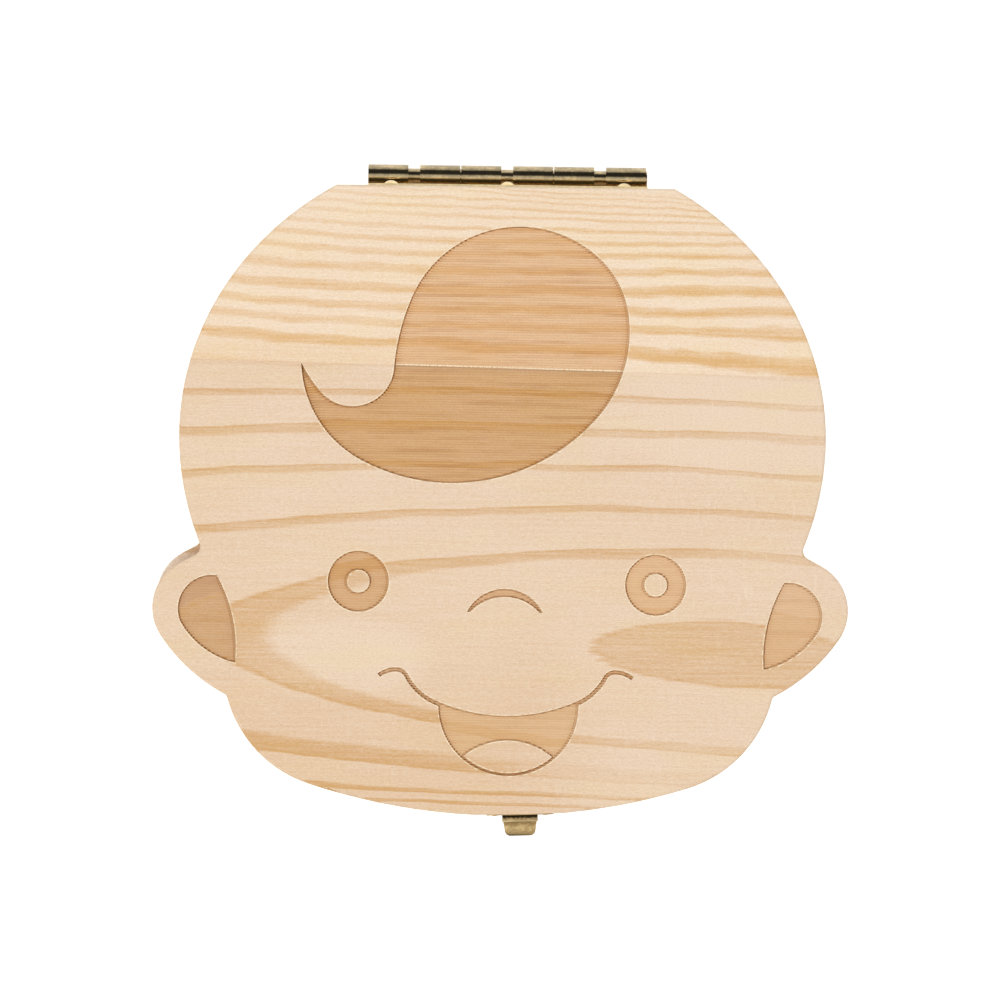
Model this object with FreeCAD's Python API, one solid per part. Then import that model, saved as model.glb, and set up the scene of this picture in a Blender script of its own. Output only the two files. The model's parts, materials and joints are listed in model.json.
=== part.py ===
import FreeCAD, Part
import math
import os
from FreeCAD import Vector

# Baby tooth box: a wooden keepsake box sawn to the outline of a smiling baby's head.
# Millimetres. The closed box lies on its base with the face up: +X is the right of the face,
# +Y its crown with the hinge, -Y its chin with the clasp, and +Z up.
# The origin is on the table, under the middle of the box.

# Outline of the head, seen from above
HEAD_HALF_WIDTH = 56.8
CROWN_HEIGHT = 51.5
CHEEK_HEIGHT = 53.3
TEMPLE_Y = 11.2
BACK_Y = 55.1
EAR_X = 52.2
EAR_Y = -18.7
EAR_RADIUS = 8.9
LOBE_RADIUS = 31.0
LOBE_ANGLE = 34.0
EAR_ROOT_TOP = 62.0
EAR_ROOT_LENGTH = 12.0
EAR_ROOT_BOTTOM = -90.0
EAR_ROOT_ROUND = 1.6
CHIN_Y = -55.35
CHIN_RADIUS = 109.8
CHIN_ANGLE = 17.64
JAW_RADIUS = 21.9
JAW_TOP = 45.0
CORNER_ROUND = 0.8
CORNER_SHARPNESS = 12.0
# The left ear was sawn by hand, a little low on the lid and a little high on the base
LID_EAR_SLIP = -0.8
BASE_EAR_SLIP = 0.9

# The two halves and the glue line of the lid's two boards
BASE_THICKNESS = 14.9
LID_THICKNESS = 14.8
PARTING_GAP = 0.3
EDGE_ROUND = 0.5
PARTING_ROUND = 0.3
SEAM_Y = 23.25
SEAM_TILT = -1.0

# Engraved face: shallow level recesses in the lid
ENGRAVING_DEPTH = 0.45
FACE_X = 1.15
EYE_SPACING = 52.2
EYE_Y = -14.5
EYE_RADIUS = 5.35
PUPIL_RADIUS = 2.0
NOSE_X = 0.85
NOSE_Y = -19.6
NOSE_WIDTH = 13.3
NOSE_RISE = 4.1
NOSE_LINE = 1.4
NOSE_END = 0.6
SMILE_LINE = 0.75
LIP_Y = -37.8
LIP_RADIUS = 31.0
LIP_ANGLE = 23.8
CHEEK_RADIUS = 10.3
CHEEK_ANGLE = 62.0
DIMPLE_RADIUS = 2.0
DIMPLE_TIP_RADIUS = 5.0
DIMPLE_TIP_ANGLE = 38.0
MOUTH_X = 1.7
MOUTH_Y = -36.05
MOUTH_RADIUS = 12.3
TONGUE_GAP = 0.5
TONGUE_TOP_Y = -42.1
TONGUE_TOP_RADIUS = 12.1
# Corners of the ear's hollow from the ear's centre, each with the rise of the arc that leaves it
EAR_MARK_TOP = (-2.4, 4.9, 3.0)
EAR_MARK_SIDE = (3.9, -3.3, 1.25)
EAR_MARK_BOTTOM = (-5.8, -10.4, 1.2)
# Corners of the hair curl in the same way, from the middle of the box, clockwise from the tail
CURL_TAIL = (-35.5, 23.75, -0.2)
CURL_HOOK = (-31.9, 18.55, -4.75)
CURL_NAPE = (-19.15, 23.7, 0.45)
CURL_LEFT = (-16.25, 35.45, 8.5)
CURL_TOP = (16.2, 43.1, 1.15)
CURL_RIGHT = (21.9, 32.45, 2.1)
CURL_LOW = (16.1, 14.15, 7.1)
CURL_BOTTOM = (-24.8, 6.8, 2.7)

# Hollows of the base: a pocket for each milk tooth round two compartments
TOOTH_COUNT = 20
TOOTH_RADIUS = 4.2
TOOTH_DEPTH = 9.0
ARCH_Y = 0.5
ARCH_HALF_WIDTH = 41.0
ARCH_HALF_DEPTH = 36.0
COMPARTMENT_LENGTH = 34.0
COMPARTMENT_WIDTH = 16.0
COMPARTMENT_DEPTH = 10.0
COMPARTMENT_CORNER = 5.0
COMPARTMENT_WALL = 5.0

# Butt hinge nailed on the flat at the crown
HINGE_X = 0.3
SHEET = 0.6
KNUCKLE_ROLL = 300.0
KNUCKLE_PAIRS = 3
KNUCKLE_PITCH = 16.5
PIN_SHOWING = 2.1
KNUCKLE_GAP = 0.2
HINGE_PIN_RADIUS = 1.45
HINGE_RUNNING = 0.05
HINGE_STANDOFF = 0.15
HINGE_BEND_RADIUS = 1.5
LEAF_HEIGHT = 9.0
LEAF_CLEARANCE = 0.3
LEAF_CORNER = 1.0
HINGE_NAIL_EDGE = 4.15
HINGE_NAIL_HEIGHT = 5.9

# Clasp nailed on a small flat of the chin
CLASP_X = 4.0
SEAT_MARGIN = 2.0
PLATE_WIDTH = 12.0
PLATE_HEIGHT = 5.6
PLATE_CORNER = 1.4
PLATE_SHEET = 0.4
HASP_AXIS_HEIGHT = 3.0
CLASP_PIN_RADIUS = 0.4
CLASP_RUNNING = 0.05
CLASP_STANDOFF = 0.15
CLASP_BEND_RADIUS = 1.0
CLASP_KNUCKLE = 2.0
CLASP_GAP = 0.1
HASP_WIDTH = 6.3
HASP_SHEET = 0.5
HASP_LAND = 0.5
LIP_BEND_RADIUS = 1.2
LIP_BEND_ANGLE = 100.0
LIP_CURL_RADIUS = 2.8
LIP_CURL_ANGLE = 55.0
LIP_TIP_WIDTH = 5.2
LIP_CORNER = 1.0
CATCH_TOP_DROP = 1.6
CATCH_HEIGHT = 8.4
CATCH_WIDTH = 2.6
CATCH_SHEET = 1.2
CATCH_REACH = 2.0
CATCH_ROUND = 0.4
CATCH_DROP = 7.0
WINDOW_CLEARANCE = 0.4
CLASP_NAIL_EDGE = 1.5

# Domed nails
NAIL_RADIUS = 0.6
NAIL_HEAD_RADIUS = 1.4
NAIL_HEAD_HEIGHT = 0.7
NAIL_LENGTH = 6.5
BRAD_RADIUS = 0.4
BRAD_HEAD_RADIUS = 0.8
BRAD_HEAD_HEIGHT = 0.25
BRAD_LENGTH = 5.0
NAIL_POINT = 1.5
NAIL_FIT = 0.02
NAIL_HOLE_PLAY = 0.1

# How far a cut runs past what it cuts, and how near two places are the same
OVERSHOOT = 1.0
SAME = 1e-6

# Sizes that follow from the ones above
LID_BOTTOM = BASE_THICKNESS + PARTING_GAP
LID_TOP = LID_BOTTOM + LID_THICKNESS
PARTING_Z = BASE_THICKNESS + PARTING_GAP / 2
BARREL_RADIUS = HINGE_PIN_RADIUS + HINGE_RUNNING + SHEET
HINGE_AXIS_Y = BACK_Y + HINGE_STANDOFF + BARREL_RADIUS
HINGE_LENGTH = KNUCKLE_PAIRS * KNUCKLE_PITCH
HINGE_START = HINGE_X - HINGE_LENGTH / 2
HINGE_NAIL_SPACING = HINGE_LENGTH / 2 - HINGE_NAIL_EDGE
KNUCKLE_LENGTH = (KNUCKLE_PITCH - KNUCKLE_GAP - PIN_SHOWING) / 2
CHIN_CENTRE_Y = CHIN_Y + CHIN_RADIUS
CLASP_ANGLE = math.degrees(math.asin(CLASP_X / CHIN_RADIUS))
CLASP_SEAT_WIDTH = PLATE_WIDTH + 2 * SEAT_MARGIN
CLASP_SEAT = math.sqrt(CHIN_RADIUS ** 2 - (CLASP_SEAT_WIDTH / 2) ** 2)
CLASP_NAIL_SPACING = PLATE_WIDTH - 2 * CLASP_NAIL_EDGE
CLASP_BARREL_RADIUS = CLASP_PIN_RADIUS + CLASP_RUNNING + PLATE_SHEET
HASP_AXIS_OUT = CLASP_STANDOFF + CLASP_BARREL_RADIUS
HASP_RUN = CATCH_DROP + CATCH_SHEET / 2 + WINDOW_CLEARANCE + HASP_LAND
FAR = HEAD_HALF_WIDTH + CROWN_HEIGHT + CHIN_RADIUS

RIGHT = 1
LEFT = -1


def flat(x, y):
    """A point of the plan."""
    return Vector(x, y, 0)


def side(out, height):
    """A point of the clasp's side view: out from the seat, up from the parting line."""
    return Vector(0, -out, height)


def polar(centre, radius, degrees):
    """The point of a circle of the plan at an angle from +X."""
    turn = math.radians(degrees)
    return centre + Vector(radius * math.cos(turn), radius * math.sin(turn), 0)


def circle_arc(centre, radius, start, end):
    """Arc of a circle of the plan between two angles from +X."""
    points = [polar(centre, radius, angle) for angle in (start, (start + end) / 2, end)]
    return Part.Arc(*points).toShape()


def risen_arc(start, end, rise):
    """Arc between two points of the plan whose middle stands rise to the left of its chord."""
    chord = end - start
    left = Vector(-chord.y, chord.x, 0).normalize()
    return Part.Arc(start, (start + end) * 0.5 + left * rise, end).toShape()


def line(start, end):
    return Part.LineSegment(start, end).toShape()


def face(edges):
    return Part.Face(Part.Wire(edges))


def disc(x, y, radius):
    return face([Part.Circle(flat(x, y), Vector(0, 0, 1), radius).toShape()])


def band(start, heading, steps, width, place):
    """A strip of one width along tangent runs and arcs, with square ends.

    A step is (length, 0) for a straight run, or (radius, turn) with left turns positive.
    """
    sides = []
    for shift in (width / 2, -width / 2):
        angle = math.radians(heading)
        x = start[0] - shift * math.sin(angle)
        y = start[1] + shift * math.cos(angle)
        first = place(x, y)
        edges = []
        for size, turn in steps:
            if turn == 0:
                ends = [(x, y), (x + size * math.cos(angle), y + size * math.sin(angle))]
                edges.append(line(place(*ends[0]), place(*ends[1])))
            else:
                hand = math.copysign(1, turn)
                radius = size - hand * shift
                centre_x = x - hand * radius * math.sin(angle)
                centre_y = y + hand * radius * math.cos(angle)
                ends = []
                for share in (0, 0.5, 1):
                    now = angle + math.radians(turn) * share
                    ends.append((centre_x + hand * radius * math.sin(now),
                                 centre_y - hand * radius * math.cos(now)))
                edges.append(Part.Arc(*[place(*end) for end in ends]).toShape())
                angle += math.radians(turn)
            x, y = ends[-1]
        sides.append((edges, first, place(x, y)))
    (left, left_start, left_end), (right, right_start, right_end) = sides
    return face(left + [line(left_end, right_end)] + right[::-1] + [line(right_start, left_start)])


def rolled_strip(height, sheet, inner_radius, standoff, bend_radius, place):
    """Side view of a sheet that runs down its seat, steps out and is rolled round an axis.

    Heights count from the axis. The step out is two equal and opposite bends.
    """
    turn = math.acos(1 - standoff / (2 * bend_radius))
    step = 2 * bend_radius * math.sin(turn)
    bends = [(bend_radius, math.degrees(turn)), (bend_radius, -math.degrees(turn))]
    steps = [(height - step, 0)] + bends + [(inner_radius + sheet / 2, KNUCKLE_ROLL)]
    return band((sheet / 2, height), -90, steps, sheet, place)


def prism(shape, low, high):
    """A plan face raised between two heights."""
    raised = shape.extrude(Vector(0, 0, high - low))
    raised.translate(Vector(0, 0, low))
    return raised


def block(x, y, z):
    """A box from pairs of limits."""
    return Part.makeBox(x[1] - x[0], y[1] - y[0], z[1] - z[0], Vector(x[0], y[0], z[0]))


def joined(shapes):
    return shapes[0].multiFuse(shapes[1:]).removeSplitter() if len(shapes) > 1 else shapes[0]


def rounded(solid, radius, wanted):
    """The solid with a fillet on each edge that the test wants."""
    edges = [edge for edge in solid.Edges if wanted(edge)]
    return solid.makeFillet(radius, edges)


def along(edge, axis):
    """Is this a straight edge along the axis?"""
    run = edge.Vertexes[-1].Point - edge.Vertexes[0].Point
    return run.cross(axis).Length < SAME and run.Length > SAME and abs(run.Length - edge.Length) < SAME


def at_height(edge, z):
    return abs(edge.BoundBox.ZMin - z) < SAME and abs(edge.BoundBox.ZMax - z) < SAME


# The outline


def half_head(height, way):
    """Half of the head's ellipse, above the temples (way 1) or below them (way -1)."""
    centre = flat(0, TEMPLE_Y)
    right = flat(HEAD_HALF_WIDTH, TEMPLE_Y)
    left = flat(-HEAD_HALF_WIDTH, TEMPLE_Y)
    tip = flat(0, TEMPLE_Y + way * height)
    if HEAD_HALF_WIDTH >= height:
        curve = Part.ArcOfEllipse(Part.Ellipse(right, tip, centre), 0, math.pi)
    else:
        curve = Part.ArcOfEllipse(Part.Ellipse(tip, right, centre), -math.pi / 2, math.pi / 2)
    return face([curve.toShape(), line(left, right)])


def ear(hand, slip):
    """A round ear on a straight root that narrows to its lobe, closed by a line inside the head."""
    centre = flat(EAR_X, EAR_Y + slip)
    lobe = polar(centre, EAR_RADIUS - LOBE_RADIUS, -LOBE_ANGLE)
    top = polar(centre, EAR_RADIUS, EAR_ROOT_TOP)
    root = polar(top, EAR_ROOT_LENGTH, EAR_ROOT_TOP + 90)
    edges = [
        line(root, top),
        circle_arc(centre, EAR_RADIUS, EAR_ROOT_TOP, -LOBE_ANGLE),
        circle_arc(lobe, LOBE_RADIUS, -LOBE_ANGLE, EAR_ROOT_BOTTOM),
        line(polar(lobe, LOBE_RADIUS, EAR_ROOT_BOTTOM), root),
    ]
    shape = face(edges)
    return shape if hand == RIGHT else shape.mirror(flat(0, 0), Vector(1, 0, 0))


def jaw():
    """Two round jaws joined by the shallow arc of the chin."""
    chin = flat(0, CHIN_CENTRE_Y)
    right = polar(chin, CHIN_RADIUS - JAW_RADIUS, CHIN_ANGLE - 90)
    left = flat(-right.x, right.y)
    edges = [
        circle_arc(right, JAW_RADIUS, JAW_TOP, CHIN_ANGLE - 90),
        circle_arc(chin, CHIN_RADIUS, CHIN_ANGLE - 90, -CHIN_ANGLE - 90),
        circle_arc(left, JAW_RADIUS, -CHIN_ANGLE - 90, -180 - JAW_TOP),
        line(polar(left, JAW_RADIUS, 180 - JAW_TOP), polar(right, JAW_RADIUS, JAW_TOP)),
    ]
    return face(edges)


def slab(low, high, left_ear_slip, low_round, high_round):
    """One half of the box before its fittings: the outline raised, corners and edges eased."""
    faces = [half_head(CROWN_HEIGHT, 1), half_head(CHEEK_HEIGHT, -1), jaw()]
    faces += [ear(RIGHT, 0), ear(LEFT, left_ear_slip)]
    solid = joined([prism(shape, low, high) for shape in faces])
    behind = block((-FAR, FAR), (BACK_Y, FAR), (low - OVERSHOOT, high + OVERSHOOT))
    solid = solid.cut(behind).removeSplitter()

    def sharp(edge):
        if not along(edge, Vector(0, 0, 1)):
            return False
        spot = edge.Vertexes[0].Point
        normals = []
        for wall in solid.ancestorsOfType(edge, Part.Face):
            normals.append(wall.normalAt(*wall.Surface.parameter(spot)))
        return math.degrees(normals[0].getAngle(normals[1])) > CORNER_SHARPNESS

    def ear_root(edge):
        return sharp(edge) and EAR_Y < edge.Vertexes[0].Point.y < TEMPLE_Y

    solid = rounded(solid, EAR_ROOT_ROUND, ear_root)
    solid = rounded(solid, CORNER_ROUND, sharp)
    solid = rounded(solid, low_round, lambda edge: at_height(edge, low))
    return rounded(solid, high_round, lambda edge: at_height(edge, high))


# The engraved face


def arc_loop(centre, corners):
    """A loop of arcs: each corner is (x, y, rise) from the centre, clockwise."""
    edges = []
    for here, after in zip(corners, corners[1:] + corners[:1]):
        edges.append(risen_arc(centre + flat(*here[:2]), centre + flat(*after[:2]), here[2]))
    return face(edges)


def hair_curl():
    """A swept curl of hair: eight arcs, with a thin tail at the left."""
    corners = [CURL_TAIL, CURL_HOOK, CURL_NAPE, CURL_LEFT]
    corners += [CURL_TOP, CURL_RIGHT, CURL_LOW, CURL_BOTTOM]
    return arc_loop(flat(0, 0), corners)


def eye(hand):
    """A ring with a raised pupil."""
    x = FACE_X + hand * EYE_SPACING / 2
    return disc(x, EYE_Y, EYE_RADIUS).cut(disc(x, EYE_Y, PUPIL_RADIUS))


def nose():
    """A crescent between two arcs, with blunt ends."""
    half = NOSE_WIDTH / 2
    outer = [flat(NOSE_X - half, NOSE_Y), flat(NOSE_X + half, NOSE_Y)]
    inner = [flat(NOSE_X - half + NOSE_END, NOSE_Y), flat(NOSE_X + half - NOSE_END, NOSE_Y)]
    top = flat(NOSE_X, NOSE_Y + NOSE_RISE)
    under = flat(NOSE_X, NOSE_Y + NOSE_RISE - NOSE_LINE)
    edges = [
        Part.Arc(outer[0], top, outer[1]).toShape(),
        line(outer[1], inner[1]),
        Part.Arc(inner[1], under, inner[0]).toShape(),
        line(inner[0], outer[0]),
    ]
    return face(edges)


def smile():
    """The line of the mouth: a long lip, a steeper cheek and a dimple at each end."""
    half = [
        (LIP_RADIUS, LIP_ANGLE),
        (CHEEK_RADIUS, CHEEK_ANGLE - LIP_ANGLE),
        (DIMPLE_RADIUS, -CHEEK_ANGLE),
        (DIMPLE_TIP_RADIUS, -DIMPLE_TIP_ANGLE),
    ]
    right = band((FACE_X, LIP_Y - SMILE_LINE / 2), 0, half, SMILE_LINE, flat)
    left = right.mirror(flat(FACE_X, 0), Vector(1, 0, 0))
    return [right, left]


def open_mouth():
    """A round mouth under the lip, with the tongue left standing."""
    above = disc(FACE_X, LIP_Y + LIP_RADIUS, LIP_RADIUS + SMILE_LINE / 2)
    mouth = disc(MOUTH_X, MOUTH_Y, MOUTH_RADIUS).cut(above)
    tongue = disc(MOUTH_X, MOUTH_Y, MOUTH_RADIUS - TONGUE_GAP)
    tongue = tongue.common(disc(MOUTH_X, TONGUE_TOP_Y - TONGUE_TOP_RADIUS, TONGUE_TOP_RADIUS))
    return mouth.cut(tongue)


def ear_mark(hand):
    """The hollow of the ear: three arcs that meet at a top, an outer side and a low point."""
    shape = arc_loop(flat(EAR_X, EAR_Y), [EAR_MARK_TOP, EAR_MARK_SIDE, EAR_MARK_BOTTOM])
    return shape if hand == RIGHT else shape.mirror(flat(0, 0), Vector(1, 0, 0))


def engraving():
    """The tool that sinks the whole face into the top of the lid."""
    shapes = [hair_curl(), nose(), open_mouth()] + smile()
    shapes += [mark(hand) for mark in (eye, ear_mark) for hand in (LEFT, RIGHT)]
    low = LID_TOP - ENGRAVING_DEPTH
    return joined([prism(shape, low, LID_TOP + ENGRAVING_DEPTH) for shape in shapes])


# Nails


def nail(radius, head_radius, head_height, length):
    """A domed nail along -Y, its head's underside at the origin and the head towards +Y."""
    ball = (head_radius ** 2 + head_height ** 2) / (2 * head_height)
    rim = math.degrees(math.asin((ball - head_height) / ball))
    dome = circle_arc(flat(0, head_height - ball), ball, rim, 90)
    shaft = [
        dome,
        line(flat(0, head_height), flat(0, -length)),
        line(flat(0, -length), flat(radius, -length + NAIL_POINT)),
        line(flat(radius, -length + NAIL_POINT), flat(radius, 0)),
        line(flat(radius, 0), flat(head_radius, 0)),
    ]
    return face(shaft).revolve(Vector(0, 0, 0), Vector(0, 1, 0), 360)


def hole(radius, length):
    """A round hole along -Y from the origin, begun a little outside."""
    start = NAIL_HEAD_HEIGHT
    return Part.makeCylinder(radius, length + start, Vector(0, start, 0), Vector(0, -1, 0))


def hinge_nail_spots(way):
    """Where the hinge's nails enter the leaf of the lid (way 1) or of the base (way -1)."""
    height = PARTING_Z + way * HINGE_NAIL_HEIGHT
    return [Vector(HINGE_X + i * HINGE_NAIL_SPACING, BACK_Y + SHEET, height) for i in (-1, 0, 1)]


def hinge_nails(way):
    shape = nail(NAIL_RADIUS, NAIL_HEAD_RADIUS, NAIL_HEAD_HEIGHT, NAIL_LENGTH)
    return Part.Compound([shape.translated(spot) for spot in hinge_nail_spots(way)])


def hinge_nail_holes(way, play):
    shape = hole(NAIL_RADIUS + play, NAIL_LENGTH)
    return Part.Compound([shape.translated(spot) for spot in hinge_nail_spots(way)])


def clasp_nail_spots(height):
    reach = CLASP_NAIL_SPACING / 2
    return [side(PLATE_SHEET, height) + flat(hand * reach, 0) for hand in (LEFT, RIGHT)]


def facing_front(shape):
    """Turns a nail or a hole that was drawn towards +Y to face the front."""
    return shape.rotated(Vector(0, 0, 0), Vector(0, 0, 1), 180)


def clasp_nails(height):
    shape = facing_front(nail(BRAD_RADIUS, BRAD_HEAD_RADIUS, BRAD_HEAD_HEIGHT, BRAD_LENGTH))
    return Part.Compound([shape.translated(spot) for spot in clasp_nail_spots(height)])


def clasp_nail_holes(height, play):
    shape = facing_front(hole(BRAD_RADIUS + play, BRAD_LENGTH))
    return Part.Compound([shape.translated(spot) for spot in clasp_nail_spots(height)])


# The hinge


def knuckle_starts(way):
    """Where the knuckles of the lid (way 1) or of the base (way -1) start along the barrel."""
    first = HINGE_START
    if way < 0:
        first += KNUCKLE_PITCH - KNUCKLE_GAP - KNUCKLE_LENGTH
    return [first + i * KNUCKLE_PITCH for i in range(KNUCKLE_PAIRS)]


def hinge_leaf(way):
    """A sheet leaf whose edge is rolled into knuckles, with nail holes and eased corners."""
    near = PARTING_Z + way * (BARREL_RADIUS + LEAF_CLEARANCE)
    outer = PARTING_Z + way * LEAF_HEIGHT
    length = (HINGE_START, HINGE_START + HINGE_LENGTH)
    leaf = block(length, (BACK_Y, BACK_Y + SHEET), sorted((near, outer)))

    def outer_corner(edge):
        return along(edge, Vector(0, 1, 0)) and at_height(edge, outer)

    def behind(out, height):
        return Vector(0, BACK_Y + out, PARTING_Z + way * height)

    strip = rolled_strip(LEAF_HEIGHT - LEAF_CORNER, SHEET, HINGE_PIN_RADIUS + HINGE_RUNNING,
                         HINGE_STANDOFF, HINGE_BEND_RADIUS, behind)
    knuckle = strip.extrude(Vector(KNUCKLE_LENGTH, 0, 0))
    knuckles = [knuckle.translated(flat(start, 0)) for start in knuckle_starts(way)]
    leaf = joined([rounded(leaf, LEAF_CORNER, outer_corner)] + knuckles)
    return leaf.cut(hinge_nail_holes(way, NAIL_HOLE_PLAY))


def hinge_pin():
    start = Vector(HINGE_START, HINGE_AXIS_Y, PARTING_Z)
    return Part.makeCylinder(HINGE_PIN_RADIUS, HINGE_LENGTH, start, Vector(1, 0, 0))


# The clasp, drawn with its seat on the plane y = 0, out towards -Y, heights from the parting line


def on_chin(shape):
    """Sets a piece of the clasp on its flat of the chin."""
    turned = shape.rotated(Vector(0, 0, 0), Vector(0, 0, 1), CLASP_ANGLE)
    seat = polar(flat(0, CHIN_CENTRE_Y), CLASP_SEAT, CLASP_ANGLE - 90)
    return turned.translated(seat + Vector(0, 0, PARTING_Z))


def clasp_seat():
    """The wood that is planed off the chin under the clasp."""
    half = CLASP_SEAT_WIDTH / 2
    return block((-half, half), (-CLASP_SEAT_WIDTH, 0), (-PARTING_Z - OVERSHOOT, LID_TOP))


def clasp_plate(low, height):
    """A nailed plate with rounded corners."""
    half = PLATE_WIDTH / 2
    plate = block((-half, half), (-PLATE_SHEET, 0), (low, low + height))
    return rounded(plate, PLATE_CORNER, lambda edge: along(edge, Vector(0, 1, 0)))


def top_plate_low():
    return HASP_AXIS_HEIGHT + CLASP_BARREL_RADIUS + LEAF_CLEARANCE


def top_nail_height():
    return top_plate_low() + PLATE_HEIGHT / 2


def catch_low():
    return -CATCH_TOP_DROP - CATCH_HEIGHT


def catch_nail_height():
    return catch_low() + CATCH_HEIGHT / 2


def barrel(start, end, radius):
    """A round bar on the hasp's axis."""
    centre = side(HASP_AXIS_OUT, HASP_AXIS_HEIGHT) + flat(start, 0)
    return Part.makeCylinder(radius, end - start, centre, Vector(1, 0, 0))


def clasp_bore():
    reach = HASP_WIDTH / 2 + OVERSHOOT
    return barrel(-reach, reach, CLASP_PIN_RADIUS + CLASP_RUNNING)


def clasp_top_plate():
    """The lid's plate, with one knuckle rolled from the middle of its lower edge."""

    def above_axis(out, height):
        return side(out, HASP_AXIS_HEIGHT + height)

    height = top_plate_low() + PLATE_CORNER - HASP_AXIS_HEIGHT
    strip = rolled_strip(height, PLATE_SHEET, CLASP_PIN_RADIUS + CLASP_RUNNING,
                         CLASP_STANDOFF, CLASP_BEND_RADIUS, above_axis)
    knuckle = strip.extrude(Vector(CLASP_KNUCKLE, 0, 0)).translated(flat(-CLASP_KNUCKLE / 2, 0))
    plate = joined([clasp_plate(top_plate_low(), PLATE_HEIGHT), knuckle])
    return plate.cut(clasp_nail_holes(top_nail_height(), NAIL_HOLE_PLAY))


def clasp_pin():
    return barrel(-HASP_WIDTH / 2, HASP_WIDTH / 2, CLASP_PIN_RADIUS)


def catch_middle():
    """Height of the middle of the catch tongue, under the hasp's axis."""
    return HASP_AXIS_HEIGHT - CATCH_DROP


def clasp_catch_plate():
    """The base's plate, with a tongue that the hasp's window drops over."""
    plate = clasp_plate(catch_low(), CATCH_HEIGHT)
    half = CATCH_WIDTH / 2
    heights = (catch_middle() - CATCH_SHEET / 2, catch_middle() + CATCH_SHEET / 2)
    tongue = block((-half, half), (-CATCH_REACH, 0), heights)
    tip = -CATCH_REACH

    def outer(edge):
        return along(edge, Vector(1, 0, 0)) and abs(edge.BoundBox.YMin - tip) < SAME

    tongue = rounded(tongue, CATCH_ROUND, outer)
    plate = joined([plate, tongue])
    return plate.cut(clasp_nail_holes(catch_nail_height(), NAIL_HOLE_PLAY))


def lip_reach():
    """How far the lip's tip stands out from the hasp's arm."""
    bend = math.radians(LIP_BEND_ANGLE)
    curl = math.radians(LIP_CURL_ANGLE)
    bent = LIP_BEND_RADIUS * (1 - math.cos(bend))
    return bent + LIP_CURL_RADIUS * (math.cos(bend - curl) - math.cos(bend))


def hasp_plan():
    """The hasp seen from above: straight sides that taper to the rounded tip of the lip."""
    start = HASP_AXIS_OUT + HASP_SHEET / 2
    tip = HASP_AXIS_OUT + lip_reach()
    half = HASP_WIDTH / 2
    half_tip = LIP_TIP_WIDTH / 2
    right = [flat(half_tip, -tip), flat(half, -start), flat(half, 0)]
    left = [flat(-corner.x, corner.y) for corner in right[::-1]]
    corners = left + right
    plan = face([line(a, b) for a, b in zip(corners, corners[1:] + corners[:1])])
    low = HASP_AXIS_HEIGHT - HASP_RUN - LIP_BEND_RADIUS - LIP_CURL_RADIUS
    shape = prism(plan, low, HASP_AXIS_HEIGHT)

    def tip_corner(edge):
        return along(edge, Vector(0, 0, 1)) and abs(edge.BoundBox.YMin + tip) < SAME

    return rounded(shape, LIP_CORNER, tip_corner)


def clasp_hasp():
    """The swinging arm: two eyes on the pin, a window for the catch and a curled thumb lip."""
    clear = CLASP_BARREL_RADIUS + LEAF_CLEARANCE
    steps = [(HASP_RUN, 0), (LIP_BEND_RADIUS, LIP_BEND_ANGLE), (LIP_CURL_RADIUS, -LIP_CURL_ANGLE)]
    strip = band((HASP_AXIS_OUT, HASP_AXIS_HEIGHT), -90, steps, HASP_SHEET, side)
    half = HASP_WIDTH / 2
    arm = strip.extrude(Vector(HASP_WIDTH, 0, 0)).translated(Vector(-half, 0, 0))
    arm = arm.common(hasp_plan())
    through = (-HASP_AXIS_OUT - HASP_SHEET - OVERSHOOT, 0)
    inner = CLASP_KNUCKLE / 2 + CLASP_GAP
    throat = block((-inner, inner), through, (HASP_AXIS_HEIGHT - clear, HASP_AXIS_HEIGHT + clear))
    half_window = CATCH_WIDTH / 2 + WINDOW_CLEARANCE
    half_height = CATCH_SHEET / 2 + WINDOW_CLEARANCE
    heights = (catch_middle() - half_height, catch_middle() + half_height)
    window = block((-half_window, half_window), through, heights)
    arm = arm.cut(throat).cut(window)
    eyes = [barrel(inner, half, CLASP_BARREL_RADIUS), barrel(-half, -inner, CLASP_BARREL_RADIUS)]
    return joined([arm] + eyes).cut(clasp_bore())


# The wood


def seam_side(way):
    """All that lies above (way 1) or below (way -1) the glue line of the lid."""
    limits = (0, FAR) if way > 0 else (-FAR, 0)
    half = block((-FAR, FAR), limits, (LID_BOTTOM - OVERSHOOT, LID_TOP + OVERSHOOT))
    return half.rotated(Vector(0, 0, 0), Vector(0, 0, 1), SEAM_TILT).translated(flat(0, SEAM_Y))


def lid():
    """The engraved lid, with its nail holes and the flat for the clasp."""
    solid = slab(LID_BOTTOM, LID_TOP, LID_EAR_SLIP, PARTING_ROUND, EDGE_ROUND)
    solid = solid.cut(on_chin(clasp_seat())).cut(engraving())
    solid = solid.cut(hinge_nail_holes(1, NAIL_FIT))
    return solid.cut(on_chin(clasp_nail_holes(top_nail_height(), NAIL_FIT)))


def tooth_pockets():
    """Twenty round pockets in two facing arches, as milk teeth stand."""
    pockets = []
    for i in range(TOOTH_COUNT):
        turn = math.radians((i + 0.5) * 360 / TOOTH_COUNT)
        spot = flat(ARCH_HALF_WIDTH * math.cos(turn), ARCH_Y + ARCH_HALF_DEPTH * math.sin(turn))
        low = spot + Vector(0, 0, BASE_THICKNESS - TOOTH_DEPTH)
        pockets.append(Part.makeCylinder(TOOTH_RADIUS, TOOTH_DEPTH + OVERSHOOT, low))
    return pockets


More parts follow.
